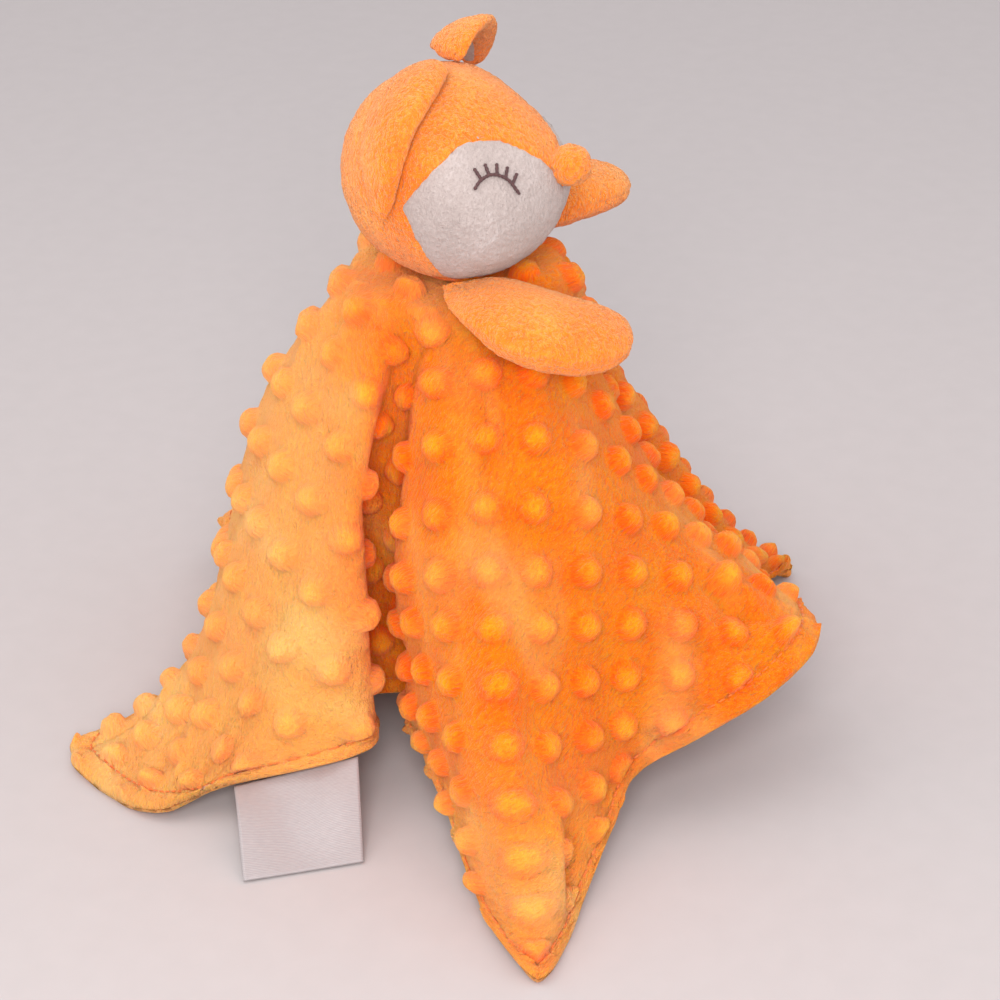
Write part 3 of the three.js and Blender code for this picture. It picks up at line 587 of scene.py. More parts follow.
dotted_cloth = cloth_piece(
    "blanket_dotted_side", 1, dot_lattice(), PITCH / 4, True
)
lining_cloth = cloth_piece(
    "blanket_lining", -1, plain_grid(3.0), PITCH / 3, False
)

# ---------------------------------------------------------------- the topstitching
STITCH_LENGTH = 2.7
STITCH_PACE = 3.6
THREAD = 0.5
STITCH_RISE = 0.55
STITCH_SINK = 0.5


def tube(centres, outs, radius, sides, twist=0.0, ply=0.0):
    """A closed thread along a line of points, with its outward side told at each."""
    centres, outs = np.asarray(centres, float), np.asarray(outs, float)
    tangents = unit(np.gradient(centres, axis=0))
    outs = unit(outs - tangents * np.sum(outs * tangents, 1, keepdims=True))
    besides = np.cross(outs, tangents)
    count = len(centres)
    length = np.concatenate([[0], np.cumsum(np.linalg.norm(np.diff(centres, axis=0), axis=1))])
    ends = np.minimum(length, length[-1] - length)
    taper = np.sqrt(1 - (1 - np.clip(ends / radius, 0, 1)) ** 2)
    turns = 2 * math.pi * np.arange(sides) / sides
    points, faces = [centres[0]], []
    for k in range(1, count - 1):
        round_it = radius * taper[k] * (1 + ply * np.cos(2 * (turns - twist * length[k])))
        points += list(
            centres[k] + outs[k] * (np.cos(turns) * round_it)[:, None]
            + besides[k] * (np.sin(turns) * round_it)[:, None]
        )
    points.append(centres[-1])
    last = len(points) - 1
    for s in range(sides):
        t = (s + 1) % sides
        faces.append((0, 1 + t, 1 + s))
        for k in range(count - 3):
            low, high = 1 + k * sides, 1 + (k + 1) * sides
            faces.append((low + s, low + t, high + t, high + s))
        top = 1 + (count - 3) * sides
        faces.append((top + s, top + t, last))
    return points, faces


def many(name, forms):
    """One piece of several closed forms."""
    points, faces = [], []
    for form_points, form_faces in forms:
        start = len(points)
        points += list(form_points)
        faces += [[start + i for i in f] for f in form_faces]
    return piece_of(name, placed(points), faces)


def hem_stitches():
    forms = []
    half = HALF_SIDE - STITCH_IN
    steps = int(2 * half / STITCH_PACE)
    for x, y in ((1, 1), (-1, 1), (-1, -1), (1, -1)):
        outward, aside = np.array([x, y]) / math.sqrt(2), np.array([-y, x]) / math.sqrt(2)
        for k in range(steps):
            middle = -half + (k + 0.5) * 2 * half / steps
            at = middle + np.linspace(-0.5, 0.5, 7) * STITCH_LENGTH
            flat = outward * half + aside * at[:, None]
            u, v = rounded(flat[:, 0], flat[:, 1])
            far = 2 * (at - middle) / STITCH_LENGTH
            rise = STITCH_RISE * np.sqrt(np.maximum(1 - far**2, 0))
            lift = CLOTH_OUT - STITCH_SINK + rise + unevenness(u, v)
            out = drape_normal(u, v)
            forms.append(tube(drape(u, v) + out * lift[:, None], out, THREAD / 2, 6))
    return many("hem_stitches", forms)


stitches = hem_stitches()

# ---------------------------------------------------------------- the head
HEAD_CENTRE = np.array([0, 0, 179.8])
HEAD_HALF = np.array([65.0, 66.0, 61.5]) / 2
CHEEK_BULGE = 1.8
CHEEK = (50, -13, 51)
CHIN = (18, -22, 33)
BROW_FLAT = 4.5
BROW = (46, 38, 60)
# Straight edges of a cheek's patch, each told by three directions: over the nose, at
# the outer top and at the outer bottom
PATCH_EDGES = (
    ((36, 36), (18, 22.5), (0, -1.5)),
    ((66.9, 35.8), (82.2, 20.6), (96.5, 2.1)),
    ((97.1, 0.8), (90.5, -14.7), (83.3, -41.6)),
)
WALL = 1.8
NOSE_DIAMETER = 12.0
NOSE_LIFT = 10.0
NOSE_SINK = 3.0
NOSE_FOLDS = 11
NOSE_FILLING_IN = 1.3
HEAD_FILLING_IN = WALL + 1.2


def head_radius(towards, inset=0.0):
    base = 1 / np.linalg.norm(towards / (HEAD_HALF - inset), axis=-1)
    for side in (-1, 1):
        aim = direction(side * CHEEK[0], CHEEK[1])
        away = np.degrees(np.arccos(np.clip(towards @ aim, -1, 1))) / CHEEK[2]
        base = base + CHEEK_BULGE * np.exp(-3 * away**2)
        aim = direction(side * BROW[0], BROW[1])
        away = np.degrees(np.arccos(np.clip(towards @ aim, -1, 1))) / BROW[2]
        base = base - BROW_FLAT * np.exp(-3 * away**2)
    return base


def head_point(towards, lift=0.0):
    return HEAD_CENTRE + towards * (head_radius(towards) + lift)[..., None]


def ball(cuts):
    """A ball of even squares, of radius one."""
    form = bmesh.new()
    bmesh.ops.create_cube(form, size=2)
    bmesh.ops.subdivide_edges(form, edges=form.edges[:], cuts=cuts, use_grid_fill=True)
    for vertex in form.verts:
        corner = [math.tan(c * math.pi / 4) for c in vertex.co]
        vertex.co = Vector(corner).normalized()
    return form


def soft_panel(name, points, faces, wall, pile, levels=2):
    """A sewn panel of plush: a wall, rounded edges and a nap of raised fibres."""
    if not faces:
        raise ValueError(f"{name} has no faces")
    used = sorted({i for f in faces for i in f})
    number = {i: k for k, i in enumerate(used)}
    panel = piece_of(name, placed(points[used]), [[number[i] for i in f] for f in faces])
    form = bmesh.new()
    form.from_mesh(panel.data)
    bmesh.ops.remove_doubles(form, verts=form.verts[:], dist=2e-5)
    bmesh.ops.dissolve_degenerate(form, edges=form.edges[:], dist=1e-6)
    shifts = []
    for vertex in form.verts:
        if vertex.is_boundary:
            inner = [e.other_vert(vertex).co for e in vertex.link_edges]
            inner = [c for c, e in zip(inner, vertex.link_edges) if not e.is_boundary]
            if inner:
                away = vertex.co - sum(inner, Vector()) / len(inner)
                shifts.append((vertex, away.normalized() * SEAM_LAP * MM))
    for vertex, shift in shifts:
        vertex.co += shift
    form.to_mesh(panel.data)
    form.free()
    if wall:
        thick = panel.modifiers.new("wall", "SOLIDIFY")
        thick.thickness = wall * MM
        thick.offset = -1
    smooth = panel.modifiers.new("smooth", "SUBSURF")
    smooth.levels = smooth.render_levels = levels
    apply_modifiers(panel)
    raise_pile(panel, pile)
    panel.data.shade_smooth()
    return panel


def raise_pile(piece, pile):
    """Small clumps of fibres stand up all over a piece."""
    for size, height in pile:
        clumps = bpy.data.textures.new("clumps", "CLOUDS")
        clumps.noise_scale = size * MM
        clumps.noise_depth = 1
        nap = piece.modifiers.new("nap", "DISPLACE")
        nap.texture = clumps
        nap.texture_coords = "LOCAL"
        nap.strength = height * MM
    apply_modifiers(piece)


def patch_planes(side):
    """The planes that hold the straight edges of one cheek, facing into the patch."""
    planes = []
    for edge in PATCH_EDGES:
        a, b, c = (direction(side * turn, rise) for turn, rise in edge)
        normal = unit(np.cross(b - a, c - a))
        reach = float(normal @ a)
        facing = float(normal @ direction(side * CHEEK[0], CHEEK[1])) - reach
        planes.append((normal, reach) if facing > 0 else (-normal, -reach))
    return planes


def is_patch(towards, side):
    """Whether a direction on one side of the face lies in the white patch."""
    within = False
    for turn, rise, spread in (CHEEK, CHIN):
        aim = direction(side * turn, rise)
        within = within or float(towards @ aim) > math.cos(math.radians(spread))
    return within and all(float(towards @ n) > reach for n, reach in patch_planes(side))


HEAD_CUTS = 19
HEAD_PILE = ((7, 0.7), (1.5, 0.5), (0.7, 0.3))
SEAM_SINK = 0.4
SEAM_LAP = 0.75
SEAM_SNAP = 0.012


def head_pieces():
    form = ball(HEAD_CUTS)
    planes = [(Vector((1, 0, 0)), 0.0)]
    for turn, rise, spread in (CHEEK, CHIN):
        for side in (-1, 1):
            planes.append((Vector(direction(side * turn, rise)), math.cos(math.radians(spread))))
    for side in (-1, 1):
        planes += [(Vector(normal), reach) for normal, reach in patch_planes(side)]
    for normal, reach in planes:
        bisect(form, normal * reach, normal, SEAM_SNAP)
    towards, faces = mesh_lists(form)
    form.free()
    towards = unit(towards)
    kinds = []
    for face in faces:
        middle = unit(towards[face].mean(0))
        side = 1 if middle[0] > 0 else -1
        kinds.append(side if is_patch(middle, side) else 0)
    seam = set()
    owner = {}
    for face, kind in zip(faces, kinds):
        for i in face:
            if owner.setdefault(i, kind) != kind:
                seam.add(i)
    at_seam = np.zeros(len(towards))
    at_seam[list(seam)] = 1
    points = head_point(towards)
    inward = unit(HEAD_CENTRE - points)
    points = points + inward * at_seam[:, None] * SEAM_SINK
    made = []
    for name, kind in (("head_plush", 0), ("cheek_plush_right", -1), ("cheek_plush_left", 1)):
        mine = [f for f, k in zip(faces, kinds) if k == kind]
        made.append(soft_panel(name, points, mine, WALL, HEAD_PILE))
    return made


head_plush, cheek_right_plush, cheek_left_plush = head_pieces()


def head_stuffing():
    form = ball(9)
    towards, faces = mesh_lists(form)
    form.free()
    towards = unit(towards)
    points = HEAD_CENTRE + towards * (head_radius(towards, HEAD_FILLING_IN))[:, None]
    return soft_panel("head_stuffing", points, faces, 0, ((5, 0.6),))


head_wadding = head_stuffing()

# ---------------------------------------------------------------- the nose
nose_towards = direction(0, NOSE_LIFT)
NOSE_CENTRE = head_point(nose_towards, NOSE_DIAMETER / 2 - NOSE_SINK)


def nose_ball(name, radius, gather, pile, cuts):
    form = ball(cuts)
    towards, faces = mesh_lists(form)
    form.free()
    towards = unit(towards)
    back = unit(HEAD_CENTRE - NOSE_CENTRE)
    behind = towards @ back
    side_axis = np.array([1.0, 0, 0])
    up_axis = np.cross(back, side_axis)
    turn = np.arctan2(towards @ up_axis, towards @ side_axis)
    folds = gather * np.cos(NOSE_FOLDS * turn) * smoothstep(behind, 0.1, 0.75)
    points = NOSE_CENTRE + towards * (radius + folds)[:, None]
    return soft_panel(name, points, faces, 0, pile)


nose_plush = nose_ball("nose_plush", NOSE_DIAMETER / 2, 0.35, ((4, 0.5), (1.2, 0.4)), 11)
nose_wadding = nose_ball("nose_stuffing", NOSE_DIAMETER / 2 - NOSE_FILLING_IN, 0.0, ((3, 0.2),), 5)


# ---------------------------------------------------------------- limbs
class Path:
    """An even path through points, as a smooth curve measured by its length."""

    def __init__(self, points, steps=60):
        points = np.asarray(points, float)
        ends = np.concatenate([[2 * points[0] - points[1]], points, [2 * points[-1] - points[-2]]])
        line = []
        for i in range(len(points) - 1):
            p = ends[i:i + 4]
            d = np.linalg.norm(np.diff(p, axis=0), axis=1) ** 0.5
            leave = (p[1] - p[0]) / d[0] - (p[2] - p[0]) / (d[0] + d[1]) + (p[2] - p[1]) / d[1]
            arrive = (p[2] - p[1]) / d[1] - (p[3] - p[1]) / (d[1] + d[2]) + (p[3] - p[2]) / d[2]
            share = (np.arange(steps) / steps)[:, None]
            line.append(hermite(p[1], leave * d[1], p[2], arrive * d[1], share))
        line.append(points[-1:])
        self.line = np.concatenate(line)
        far = np.linalg.norm(np.diff(self.line, axis=0), axis=1)
        self.far = np.concatenate([[0], np.cumsum(far)])

    def at(self, share):
        where = share * self.far[-1]
        return np.array([np.interp(where, self.far, self.line[:, k]) for k in range(3)])

    def tangent(self, share):
        step = 0.004
        return unit(self.at(min(share + step, 1)) - self.at(max(share - step, 0)))


def swelling(lean, round_off):
    return lambda share: math.sqrt(max(1 - abs(2 * share**lean - 1) ** round_off, 0))


FRONT_FULLER = 0.5


def limb_ring(path, upward, width, thickness, swell, root, cup, share, sides):
    """One section of a limb: its points, its upward and its sideways direction."""
    centre, tangent = path.at(share), path.tangent(share)
    up = upward(centre, tangent)
    up = unit(up - tangent * (up @ tangent))
    aside = np.cross(up, tangent)
    turns = 2 * math.pi * np.arange(sides) / sides
    thin = root + (1 - root) * smoothstep(share, 0, 0.5)
    across = width / 2 * swell(share) * np.cos(turns)
    fuller = 1 + FRONT_FULLER * np.cos(turns) if cup else 1
    above = thickness / 2 * swell(share) * thin * np.sin(turns) * fuller
    fall = across**2 / (2 * cup) if cup else 0 * across
    return centre + aside * across[:, None] + up * (above - fall)[:, None]


def limb_rings(path, upward, width, thickness, swell, root, cup, stations, sides):
    shares = (1 - np.cos(np.pi * np.arange(stations + 1) / stations)) / 2
    rings = [limb_ring(path, upward, width, thickness, swell, root, cup, s, sides) for s in shares]
    return np.array(rings)


def ring_faces(stations, sides, first=0, last=None):
    last = sides if last is None else last
    faces = []
    for i in range(stations):
        for side in range(first, last):
            k, t = side % sides, (side + 1) % sides
            faces.append([i * sides + k, i * sides + t, (i + 1) * sides + t, (i + 1) * sides + k])
    return faces


ARM_LENGTH = 57.0
ARM_WIDTH = 28.0
ARM_THICKNESS = 16.0
NECK_TOP = np.array([0, 0, TENT_HEIGHT])
RIGHT_ARM = ((-0.33, -0.06, 0.04), (-0.39, -0.29, 0.03), (-0.38, -0.53, -0.07),
             (-0.29, -0.77, -0.13), (-0.145, -0.985, -0.135))
LEFT_ARM = ((0.3, 0.01, 0.012), (0.53, -0.13, 0.105), (0.74, -0.29, 0.15),
            (0.96, -0.435, 0.14), (1.11, -0.53, 0.105))
ARM_STATIONS = 30
ARM_SIDES = 28
ARM_PILE = ((6, 0.7), (1.5, 0.5))
ARM_WALL = WALL * 0.7
ARM_SEAM_SINK = 0.5
ARM_FILLING_SHARE = 0.72


def arm_pieces(side_name, shares, up):
    path = Path(np.array(shares) * ARM_LENGTH + NECK_TOP)
    rings = limb_rings(
        path, lambda c, t: np.array(up, float), ARM_WIDTH, ARM_THICKNESS,
        swelling(1.3, 2.4), 0.25, 0, ARM_STATIONS, ARM_SIDES,
    )
    points = rings.reshape(-1, 3)
    whole = ring_faces(ARM_STATIONS, ARM_SIDES)
    half = ARM_SIDES // 2
    centres = rings.mean(1, keepdims=True)
    middle = np.repeat(centres, ARM_SIDES, 1).reshape(-1, 3)
    seam = np.zeros((ARM_STATIONS + 1, ARM_SIDES))
    seam[:, 0] = seam[:, half] = 1
    points = points + unit(middle - points) * seam.ravel()[:, None] * ARM_SEAM_SINK
    top = soft_panel(
        f"arm_{side_name}_upper_plush", points,
        ring_faces(ARM_STATIONS, ARM_SIDES, 0, half), ARM_WALL, ARM_PILE,
    )
    bottom = soft_panel(
        f"arm_{side_name}_lower_plush", points,
        ring_faces(ARM_STATIONS, ARM_SIDES, half, ARM_SIDES), ARM_WALL, ARM_PILE,
    )
    inner = middle + (points - middle) * ARM_FILLING_SHARE
    wadding = soft_panel(f"arm_{side_name}_stuffing", inner, whole, 0, ((4, 0.4),), 1)
    return top, bottom, wadding


arm_right = arm_pieces("right", RIGHT_ARM, (-0.33, -0.12, 0.94))
arm_left = arm_pieces("left", LEFT_ARM, (0, 0, 1))

EAR_LENGTH = 50.0
EAR_WIDTH = 19.0
EAR_THICKNESS = 6.0
EAR_ROLL = 28
EAR_TIP_ROWS = 5
EAR_STATIONS = 30
EAR_SIDES = 24
RIGHT_EAR = ((-130, 80), (-118, 63), (-113, 42), (-108, 20), (-104, -4))
LEFT_EAR = ((0.17, 0.1, 0.58), (0.19, 0.1, 0.65), (0.27, 0.1, 0.69), (0.4, 0.1, 0.685),
            (0.53, 0.11, 0.61), (0.63, 0.13, 0.5), (0.69, 0.15, 0.36))
EAR_PILE = ((5, 0.4), (1.4, 0.4))
EAR_WALL = 1.2


def ear_pieces(side_name, points, upward, cup, first, last):
    """The outer plush covers the sections from their first to their last point and the tip."""
    rings = limb_rings(
        Path(points), upward, EAR_WIDTH, EAR_THICKNESS, swelling(0.65, 1.7), 1, cup,
        EAR_STATIONS, EAR_SIDES,
    )
    points = rings.reshape(-1, 3)
    under = ring_faces(EAR_STATIONS, EAR_SIDES, last, EAR_SIDES + first)
    tip = EAR_TIP_ROWS * (EAR_SIDES + first - last)
    over = ring_faces(EAR_STATIONS, EAR_SIDES, first, last) + under[-tip:]
    outer = soft_panel(f"ear_{side_name}_outer_plush", points, over, EAR_WALL, EAR_PILE)
    lining = soft_panel(f"ear_{side_name}_lining_plush", points, under[:-tip], EAR_WALL, EAR_PILE)
    return outer, lining


right_ear_points = [head_point(direction(t, r), EAR_THICKNESS / 2 + 0.5) for t, r in RIGHT_EAR]
ear_right = ear_pieces(
    "right", right_ear_points, lambda centre, tangent: unit(centre - HEAD_CENTRE), HEAD_HALF[0],
    -3, EAR_SIDES // 2 + 3,
)


def rolled(centre, tangent):
    """The far ear's upward side, rolled so that its front edge is the higher one."""
    backward = np.array([0, 1.0, 0])
    level = unit(np.cross(tangent, backward))
    return level * math.cos(math.radians(EAR_ROLL)) + backward * math.sin(math.radians(EAR_ROLL))


ear_left = ear_pieces(
    "left", np.array(LEFT_EAR) * EAR_LENGTH + HEAD_CENTRE, rolled, 0, -3, EAR_SIDES // 2 + 6
)

# ---------------------------------------------------------------- the closed eyes
LID = ((60, 11.9), (56, 16.2), (49.2, 18.4), (41.5, 15.1), (36.2, 6.3))
LASHES = (((59, 22.8), (55.5, 16.6)), ((52, 24.7), (50.8, 18)), ((44.6, 23.9), (46.3, 17.7)),
          ((38.6, 21.1), (42.2, 15.1)), ((34.3, 16.8), (39.2, 11.7)))
# The left eye is sewn a little further out than the right one
EYE_OUT = {-1: 0.0, 1: 7.5}
EYE_LIFT = {-1: 0.75, 1: 0.35}
EYE_THREAD = 0.95


def eye_strand(side, angles, lift):
    turned = [(side * (t + EYE_OUT[side]), r) for t, r in angles]
    line = Path([head_point(direction(t, r), lift) for t, r in turned])
    steps = max(8, int(line.far[-1] / 0.3))
    centres = np.array([line.at(s) for s in np.linspace(0, 1, steps)])
    return tube(centres, centres - HEAD_CENTRE, EYE_THREAD / 2, 10, twist=2.6, ply=0.16)


def eye_piece(name, side):
    lift = EYE_LIFT[side]
    forms = [eye_strand(side, LID, lift)]
    forms += [eye_strand(side, lash, lift - 0.1) for lash in LASHES]
    return many(name, forms)


eye_right_thread = eye_piece("eye_right_embroidery", -1)
eye_left_thread = eye_piece("eye_left_embroidery", 1)

# ---------------------------------------------------------------- the care label
LABEL_LOWER = ((-0.715, 0.151, 0.0075), (-0.588, -0.032, 0.0075))
LABEL_UPPER = ((-83.87, 39.83, 10.4), (-68.29, 6.43, 19.05))
LABEL_STEPS = 40
LABEL_FLAT = (37, 34)
LABEL_SAG = 1.6
LABEL_WAVE = 0.9
LABEL_CURL = 2.0
LABEL_THICKNESS = 0.5


def label_piece():
    low = np.array(LABEL_LOWER) * REACH
    high = np.array(LABEL_UPPER)
    points, flat = [], []
    for i in range(LABEL_STEPS + 1):
        down = i / LABEL_STEPS
        for k in range(LABEL_STEPS + 1):
            side = k / LABEL_STEPS
            top = high[0] * (1 - side) + high[1] * side
            base = low[0] * (1 - side) + low[1] * side
            p = top * (1 - down) + base * down
            p = p + np.array([0, 0, 1]) * (LABEL_SAG * math.sin(math.pi * down) ** 2 * (1 - down))
            p[2] += LABEL_WAVE * math.sin(2 * math.pi * side * 1.3 + 1) * math.sin(math.pi * down)
            p[2] += LABEL_CURL * (1 - side) ** 5 * math.sin(math.pi * down)
            points.append(p)
            flat.append((side * LABEL_FLAT[0], down * LABEL_FLAT[1]))
    faces = []
    row = LABEL_STEPS + 1
    for i in range(LABEL_STEPS):
        for k in range(LABEL_STEPS):
            a = i * row + k
            faces.append((a, a + row, a + row + 1, a + 1))
    piece = piece_of("satin_label", placed(points), faces)
    give_map(piece, flat)
    thick = piece.modifiers.new("wall", "SOLIDIFY")
    thick.thickness = LABEL_THICKNESS * MM
    thick.offset = 0
    apply_modifiers(piece)
    piece.data.shade_smooth()
    return piece


label = label_piece()


# ---------------------------------------------------------------- materials
class Flow:
    """A value, colour or vector of a material; Python's operators add Math nodes to it."""

    def __init__(self, finish, socket):
        self.finish, self.socket = finish, socket

    def math(self, operation, first, second):
        return self.finish.node("ShaderNodeMath", {"operation": operation}, {0: first, 1: second})

    def __add__(self, other):
        return self.math("ADD", self, other)

    def __radd__(self, other):
        return self.math("ADD", other, self)

    def __sub__(self, other):
        return self.math("SUBTRACT", self, other)

    def __rsub__(self, other):
        return self.math("SUBTRACT", other, self)

    def __mul__(self, other):
        return self.math("MULTIPLY", self, other)

    def __rmul__(self, other):
        return self.math("MULTIPLY", other, self)

    def __pow__(self, other):
        return self.math("POWER", self, other)


class Finish:
    """A node material for one finish of the toy."""

    def __init__(self, name):
        self.material = bpy.data.materials.new(name)
        self.material.use_nodes = True
        self.tree = self.material.node_tree
        self.shader = self.tree.nodes["Principled BSDF"]

    def node(self, kind, settings=None, sockets=None, output=0):
        made = self.tree.nodes.new(kind)
        for name, value in (settings or {}).items():
            if name == "ramp":
                self.set_ramp(made.color_ramp, value)
            else:
                setattr(made, name, value)
        for name, value in (sockets or {}).items():
            self.feed(made.inputs[name], value)
        return Flow(self, made.outputs[output])

    def feed(self, socket, value):
        if isinstance(value, Flow):
            self.tree.links.new(value.socket, socket)
        else:
            socket.default_value = value

    def set_ramp(self, ramp, stops):
        while len(ramp.elements) < len(stops):
            ramp.elements.new(0.5)
        for element, (place, colour) in zip(ramp.elements, stops):
            element.position = place
            element.color = colour

    def set(self, **values):
        for name, value in values.items():
            self.feed(self.shader.inputs[name.replace("_", " ")], value)

    def noise(self, vector, size, detail=2.0, output=0):
        """Even noise whose blotches are about that many metres across."""
        sockets = {"Vector": vector, "Scale": 1 / size, "Detail": detail}
        return self.node("ShaderNodeTexNoise", {}, sockets, output)

    def mix(self, share, first, second, blend="MIX"):
        settings = {"data_type": "RGBA", "blend_type": blend}
        return self.node("ShaderNodeMix", settings, {0: share, 6: first, 7: second}, 2)

    def stretched(self, vector, lengths, turn=0):
        """The same place for a pattern that is drawn out by these lengths, along a turned x."""
        sockets = {"Vector": vector, "Rotation": (0, 0, math.radians(turn)), "Scale": lengths}
        return self.node("ShaderNodeMapping", {"vector_type": "TEXTURE"}, sockets)

    def part(self, vector, axis):
        return self.node("ShaderNodeSeparateXYZ", {}, {"Vector": vector}, axis)

    def bump(self, height, distance, strength, under=None):
        sockets = {"Height": height, "Distance": distance, "Strength": strength}
        if under is not None:
            sockets["Normal"] = under
        return self.node("ShaderNodeBump", {}, sockets)

    def clamped(self, value, low, high):
        settings = {"clamp": True}
        sockets = {0: value, 1: low, 2: high, 3: 0.0, 4: 1.0}
        return self.node("ShaderNodeMapRange", settings, sockets)

    def place(self):
        return self.node("ShaderNodeTexCoord", output=3)

    def cloth(self):
        return self.node("ShaderNodeUVMap", {"uv_map": "cloth"})

    def share(self, name):
        return self.node("ShaderNodeAttribute", {"attribute_name": name}, {}, 2)


def colour(red, green, blue):
    """A colour told in the screen's 0 to 255, as the shader wants it."""
    linear = []
    for value in (red, green, blue):
        c = value / 255
        linear.append(c / 12.92 if c <= 0.04045 else ((c + 0.055) / 1.055) ** 2.4)
    return (*linear, 1.0)


def plush(name, deep, middle, pale, sheen, sheen_tint, mapped=False, painted_sheen_colour=None, pile=0.0009,
          rough=1.0, glow=0.0):
    """Short pile: tufts of fibre drawn along the lay and a soft bright edge. On the blanket it also
    paints light: paler patches of painted sheen, a painted highlight on the tops of the dots and
    painted shade at their feet.
    """
    finish = Finish(name)
    place = finish.cloth() if mapped else finish.place()
    if mapped:
        lay = finish.stretched(place, (1.9, 1.0, 1.0), 135)
    else:
        lay = finish.stretched(place, (1.0, 1.0, 1.7))
    blotch = finish.noise(place, 0.021, 2.0)
    tuft = finish.noise(lay, pile * 1.4, 3.0)
    fibre = finish.noise(lay, pile * 0.5, 2.0)
    shade = finish.clamped(blotch * 0.35 + tuft * 0.4 + fibre * 0.25, 0.36, 0.64)
    # Painted light on the dots: their tops are made paler as a painted highlight, and a ring at
    # their feet darker as painted shade.
    if mapped:
        tip = finish.share("tip")
        foot = finish.clamped(tip, 0.0, 0.06) * finish.clamped(tip, 0.5, 0.1)
        shade = finish.clamped(shade * 0.7 + tip * 0.45 - foot * 0.28, 0.0, 1.0)
    tone = finish.node(
        "ShaderNodeValToRGB", {"ramp": ((0.0, deep), (0.5, middle), (1.0, pale))}, {0: shade}
    )
    # Painted sheen: the blanket's colour is mixed towards a pale colour where the painted sheen
    # lies.
    if painted_sheen_colour:
        tone = finish.mix(painted_sheen_share(finish, place), tone, painted_sheen_colour)
    clumps = finish.bump(tuft, 0.0024, 0.7 * rough)
    nap = finish.bump(fibre, 0.0012, 0.7 * rough, clumps)
    finish.set(
        Base_Color=tone, Normal=nap, Roughness=0.95, Sheen_Weight=sheen, Sheen_Roughness=0.45,
        Sheen_Tint=sheen_tint, Specular_IOR_Level=0.15, Subsurface_Weight=glow,
        Subsurface_Scale=0.014, Subsurface_Radius=(1.0, 0.3, 0.08),
    )
    return finish.material


def painted_sheen_share(finish, place):
    """Painted sheen: where the blanket's pile is painted paler, as if lit at a grazing angle: on
    the back panels, at one corner and in long streaks.
    """
    across, along = finish.part(place, 0), finish.part(place, 1)
    back_panel = finish.clamped(along * -1.0 - across * 1.2, 0.008, 0.05)
    corner = finish.clamped(across, 0.14, 0.2)
    streak = finish.noise(finish.stretched(place, (2.2, 1.0, 1.0), 8), 0.032, 2.0)
    streaks = finish.clamped(streak, 0.52, 0.7)
    return finish.clamped(back_panel * 0.5 + corner * 0.25 + streaks * 0.35, 0.0, 1.2)


PEACH = colour(255, 218, 178)
# The pale colour of the painted sheen on the blanket.
PAINTED_SHEEN = colour(254, 186, 112)
dotted_finish = plush(
    "dotted_plush", colour(250, 90, 0), colour(252, 121, 0), colour(255, 156, 20), 0.3,
    PEACH, mapped=True, painted_sheen_colour=PAINTED_SHEEN, glow=0.5,
)
lining_finish = plush(
    "lining_plush", colour(255, 100, 0), colour(255, 126, 4), colour(255, 148, 24), 0.4,
    PEACH, mapped=True, painted_sheen_colour=PAINTED_SHEEN, glow=0.5,
)
head_finish = plush(
    "head_plush", colour(236, 108, 24), colour(250, 131, 26), colour(254, 162, 62), 0.85,
    PEACH, pile=0.00075,
)
white_finish = plush(
    "white_plush", colour(168, 153, 148), colour(179, 164, 159), colour(193, 179, 175), 0.35,
    colour(255, 244, 236), rough=0.6, pile=0.0006,
)
wadding_finish = plush(
    "fibre_filling", colour(214, 214, 212), colour(232, 232, 230), colour(244, 244, 243), 0.2,
    colour(255, 255, 255), pile=0.003,
)


def thread_finish(name, dark, light):
    finish = Finish(name)
    strands = finish.noise(finish.stretched(finish.place(), (1, 1, 0.33)), 0.0004, 1.0)
    tone = finish.mix(finish.clamped(strands, 0.35, 0.65), dark, light)
    relief = finish.bump(strands, 0.0002, 0.5)
    finish.set(Base_Color=tone, Normal=relief, Roughness=0.55, Sheen_Weight=0.2)
    return finish.material


orange_thread = thread_finish("orange_thread", colour(206, 92, 16), colour(236, 124, 34))
brown_thread = thread_finish("brown_thread", colour(52, 24, 28), colour(92, 52, 50))


def satin_finish():
    """Bare satin ribbon with fine cross threads."""
    finish = Finish("white_satin")
    cloth = finish.cloth()
    floats = finish.noise(finish.stretched(cloth, (4.0, 0.6, 1.0)), 0.0006, 2.0)
    weft = finish.node(
        "ShaderNodeTexWave", {"bands_direction": "Y"},
        {"Vector": cloth, "Scale": 620.0, "Distortion": 0.6, "Detail": 1.0}, 1,
    )
    tone = finish.mix(
        finish.clamped(floats * 0.6 + weft * 0.4, 0.25, 0.75),
        colour(150, 140, 140), colour(168, 159, 159),
    )
    weave = finish.bump(floats * 0.5 + weft * 0.5, 0.00012, 0.5)
    finish.set(Base_Color=tone, Normal=weave, Roughness=0.34, Sheen_Weight=0.25)
    return finish.material


label_finish = satin_finish()


# ---------------------------------------------------------------- what each piece is
def dress(piece, material, body, slot, *nodes):
    piece.data.materials.clear()
    piece.data.materials.append(material)
    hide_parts(*nodes)
    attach(piece, body)


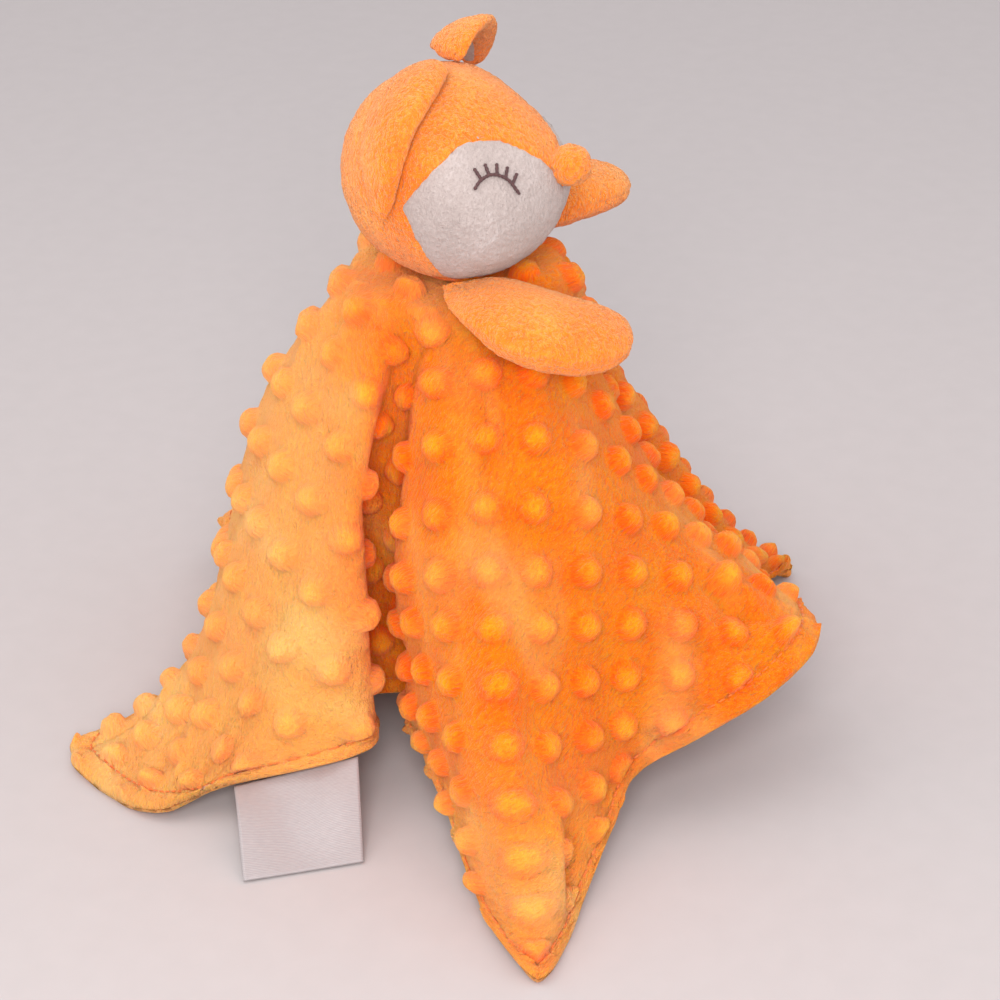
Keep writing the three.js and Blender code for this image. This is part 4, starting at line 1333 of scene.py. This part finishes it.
dress(dotted_cloth, dotted_finish, "blanket", "dotted_plush", "blanket_front")
dress(lining_cloth, lining_finish, "blanket", "smooth_plush", "blanket_back")
stitches.data.materials.append(orange_thread)
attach(stitches, "blanket")
dress(head_plush, head_finish, "head", "orange_plush", "head_crown")
dress(cheek_right_plush, white_finish, "head", "white_plush", "cheek_right")
dress(cheek_left_plush, white_finish, "head", "white_plush", "cheek_left")
dress(head_wadding, wadding_finish, "head", "fibre_filling", "head_filling")
dress(nose_plush, head_finish, "head", "orange_plush", "nose_cover")
dress(nose_wadding, wadding_finish, "head", "fibre_filling", "nose_filling")
dress(eye_right_thread, brown_thread, "head", "brown_thread", "eye_right")
dress(eye_left_thread, brown_thread, "head", "brown_thread", "eye_left")
for side_name, arm, ear in (("right", arm_right, ear_right), ("left", arm_left, ear_left)):
    body = f"arm_{side_name}"
    dress(arm[0], head_finish, body, "orange_plush", f"arm_{side_name}_top")
    dress(arm[1], head_finish, body, "orange_plush", f"arm_{side_name}_bottom")
    dress(arm[2], wadding_finish, body, "fibre_filling", f"arm_{side_name}_filling")
    body = f"ear_{side_name}"
    dress(ear[0], head_finish, body, "orange_plush", f"ear_{side_name}_outer")
    dress(ear[1], white_finish, body, "white_plush", f"ear_{side_name}_lining")
dress(label, label_finish, "label", "white_satin", "care_label")
for slot_index in range(len(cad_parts["neck_stitching"].material_slots)):
    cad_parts["neck_stitching"].material_slots[slot_index].material = orange_thread


# ---------------------------------------------------------------- floor and light
def floor_piece():
    bpy.ops.object.select_all(action="DESELECT")
    bpy.ops.mesh.primitive_plane_add(size=6, location=(0, 0, 0))
    floor = bpy.context.object
    floor.name = "floor"
    finish = Finish("floor_paper")
    grain = finish.noise(finish.place(), 0.01, 3.0)
    tone = finish.mix(finish.clamped(grain, 0.3, 0.7), colour(180, 172, 171), colour(182, 174, 173))
    finish.set(Base_Color=tone, Roughness=0.9)
    floor.data.materials.append(finish.material)


floor_piece()


def lamp(name, place, aim, size, power, tint):
    data = bpy.data.lights.new(name, "AREA")
    data.shape = "DISK"
    data.size = size
    data.energy = power
    data.color = tint
    light = linked(name, data)
    light.location = place
    light.rotation_euler = (Vector(aim) - Vector(place)).to_track_quat("-Z", "Y").to_euler()


lamp("key_light", (-0.4, 0.5, 1.4), (0, 0, 0.1), 1.5, 8, (1, 0.98, 0.96))
lamp("fill_light", (-1.0, -0.32, 0.72), (0, 0, 0.06), 0.6, 13, (1, 0.99, 0.98))
lamp("rim_light", (0.2, -0.95, 1.35), (0, -0.15, 0), 2.0, 4.5, (1, 0.98, 0.97))
world = bpy.data.worlds.new("studio")
world.use_nodes = True
world.node_tree.nodes["Background"].inputs["Color"].default_value = (0.95, 0.96, 1, 1)
world.node_tree.nodes["Background"].inputs["Strength"].default_value = 0.82
bpy.context.scene.world = world

bpy.context.scene.view_settings.view_transform = "Standard"
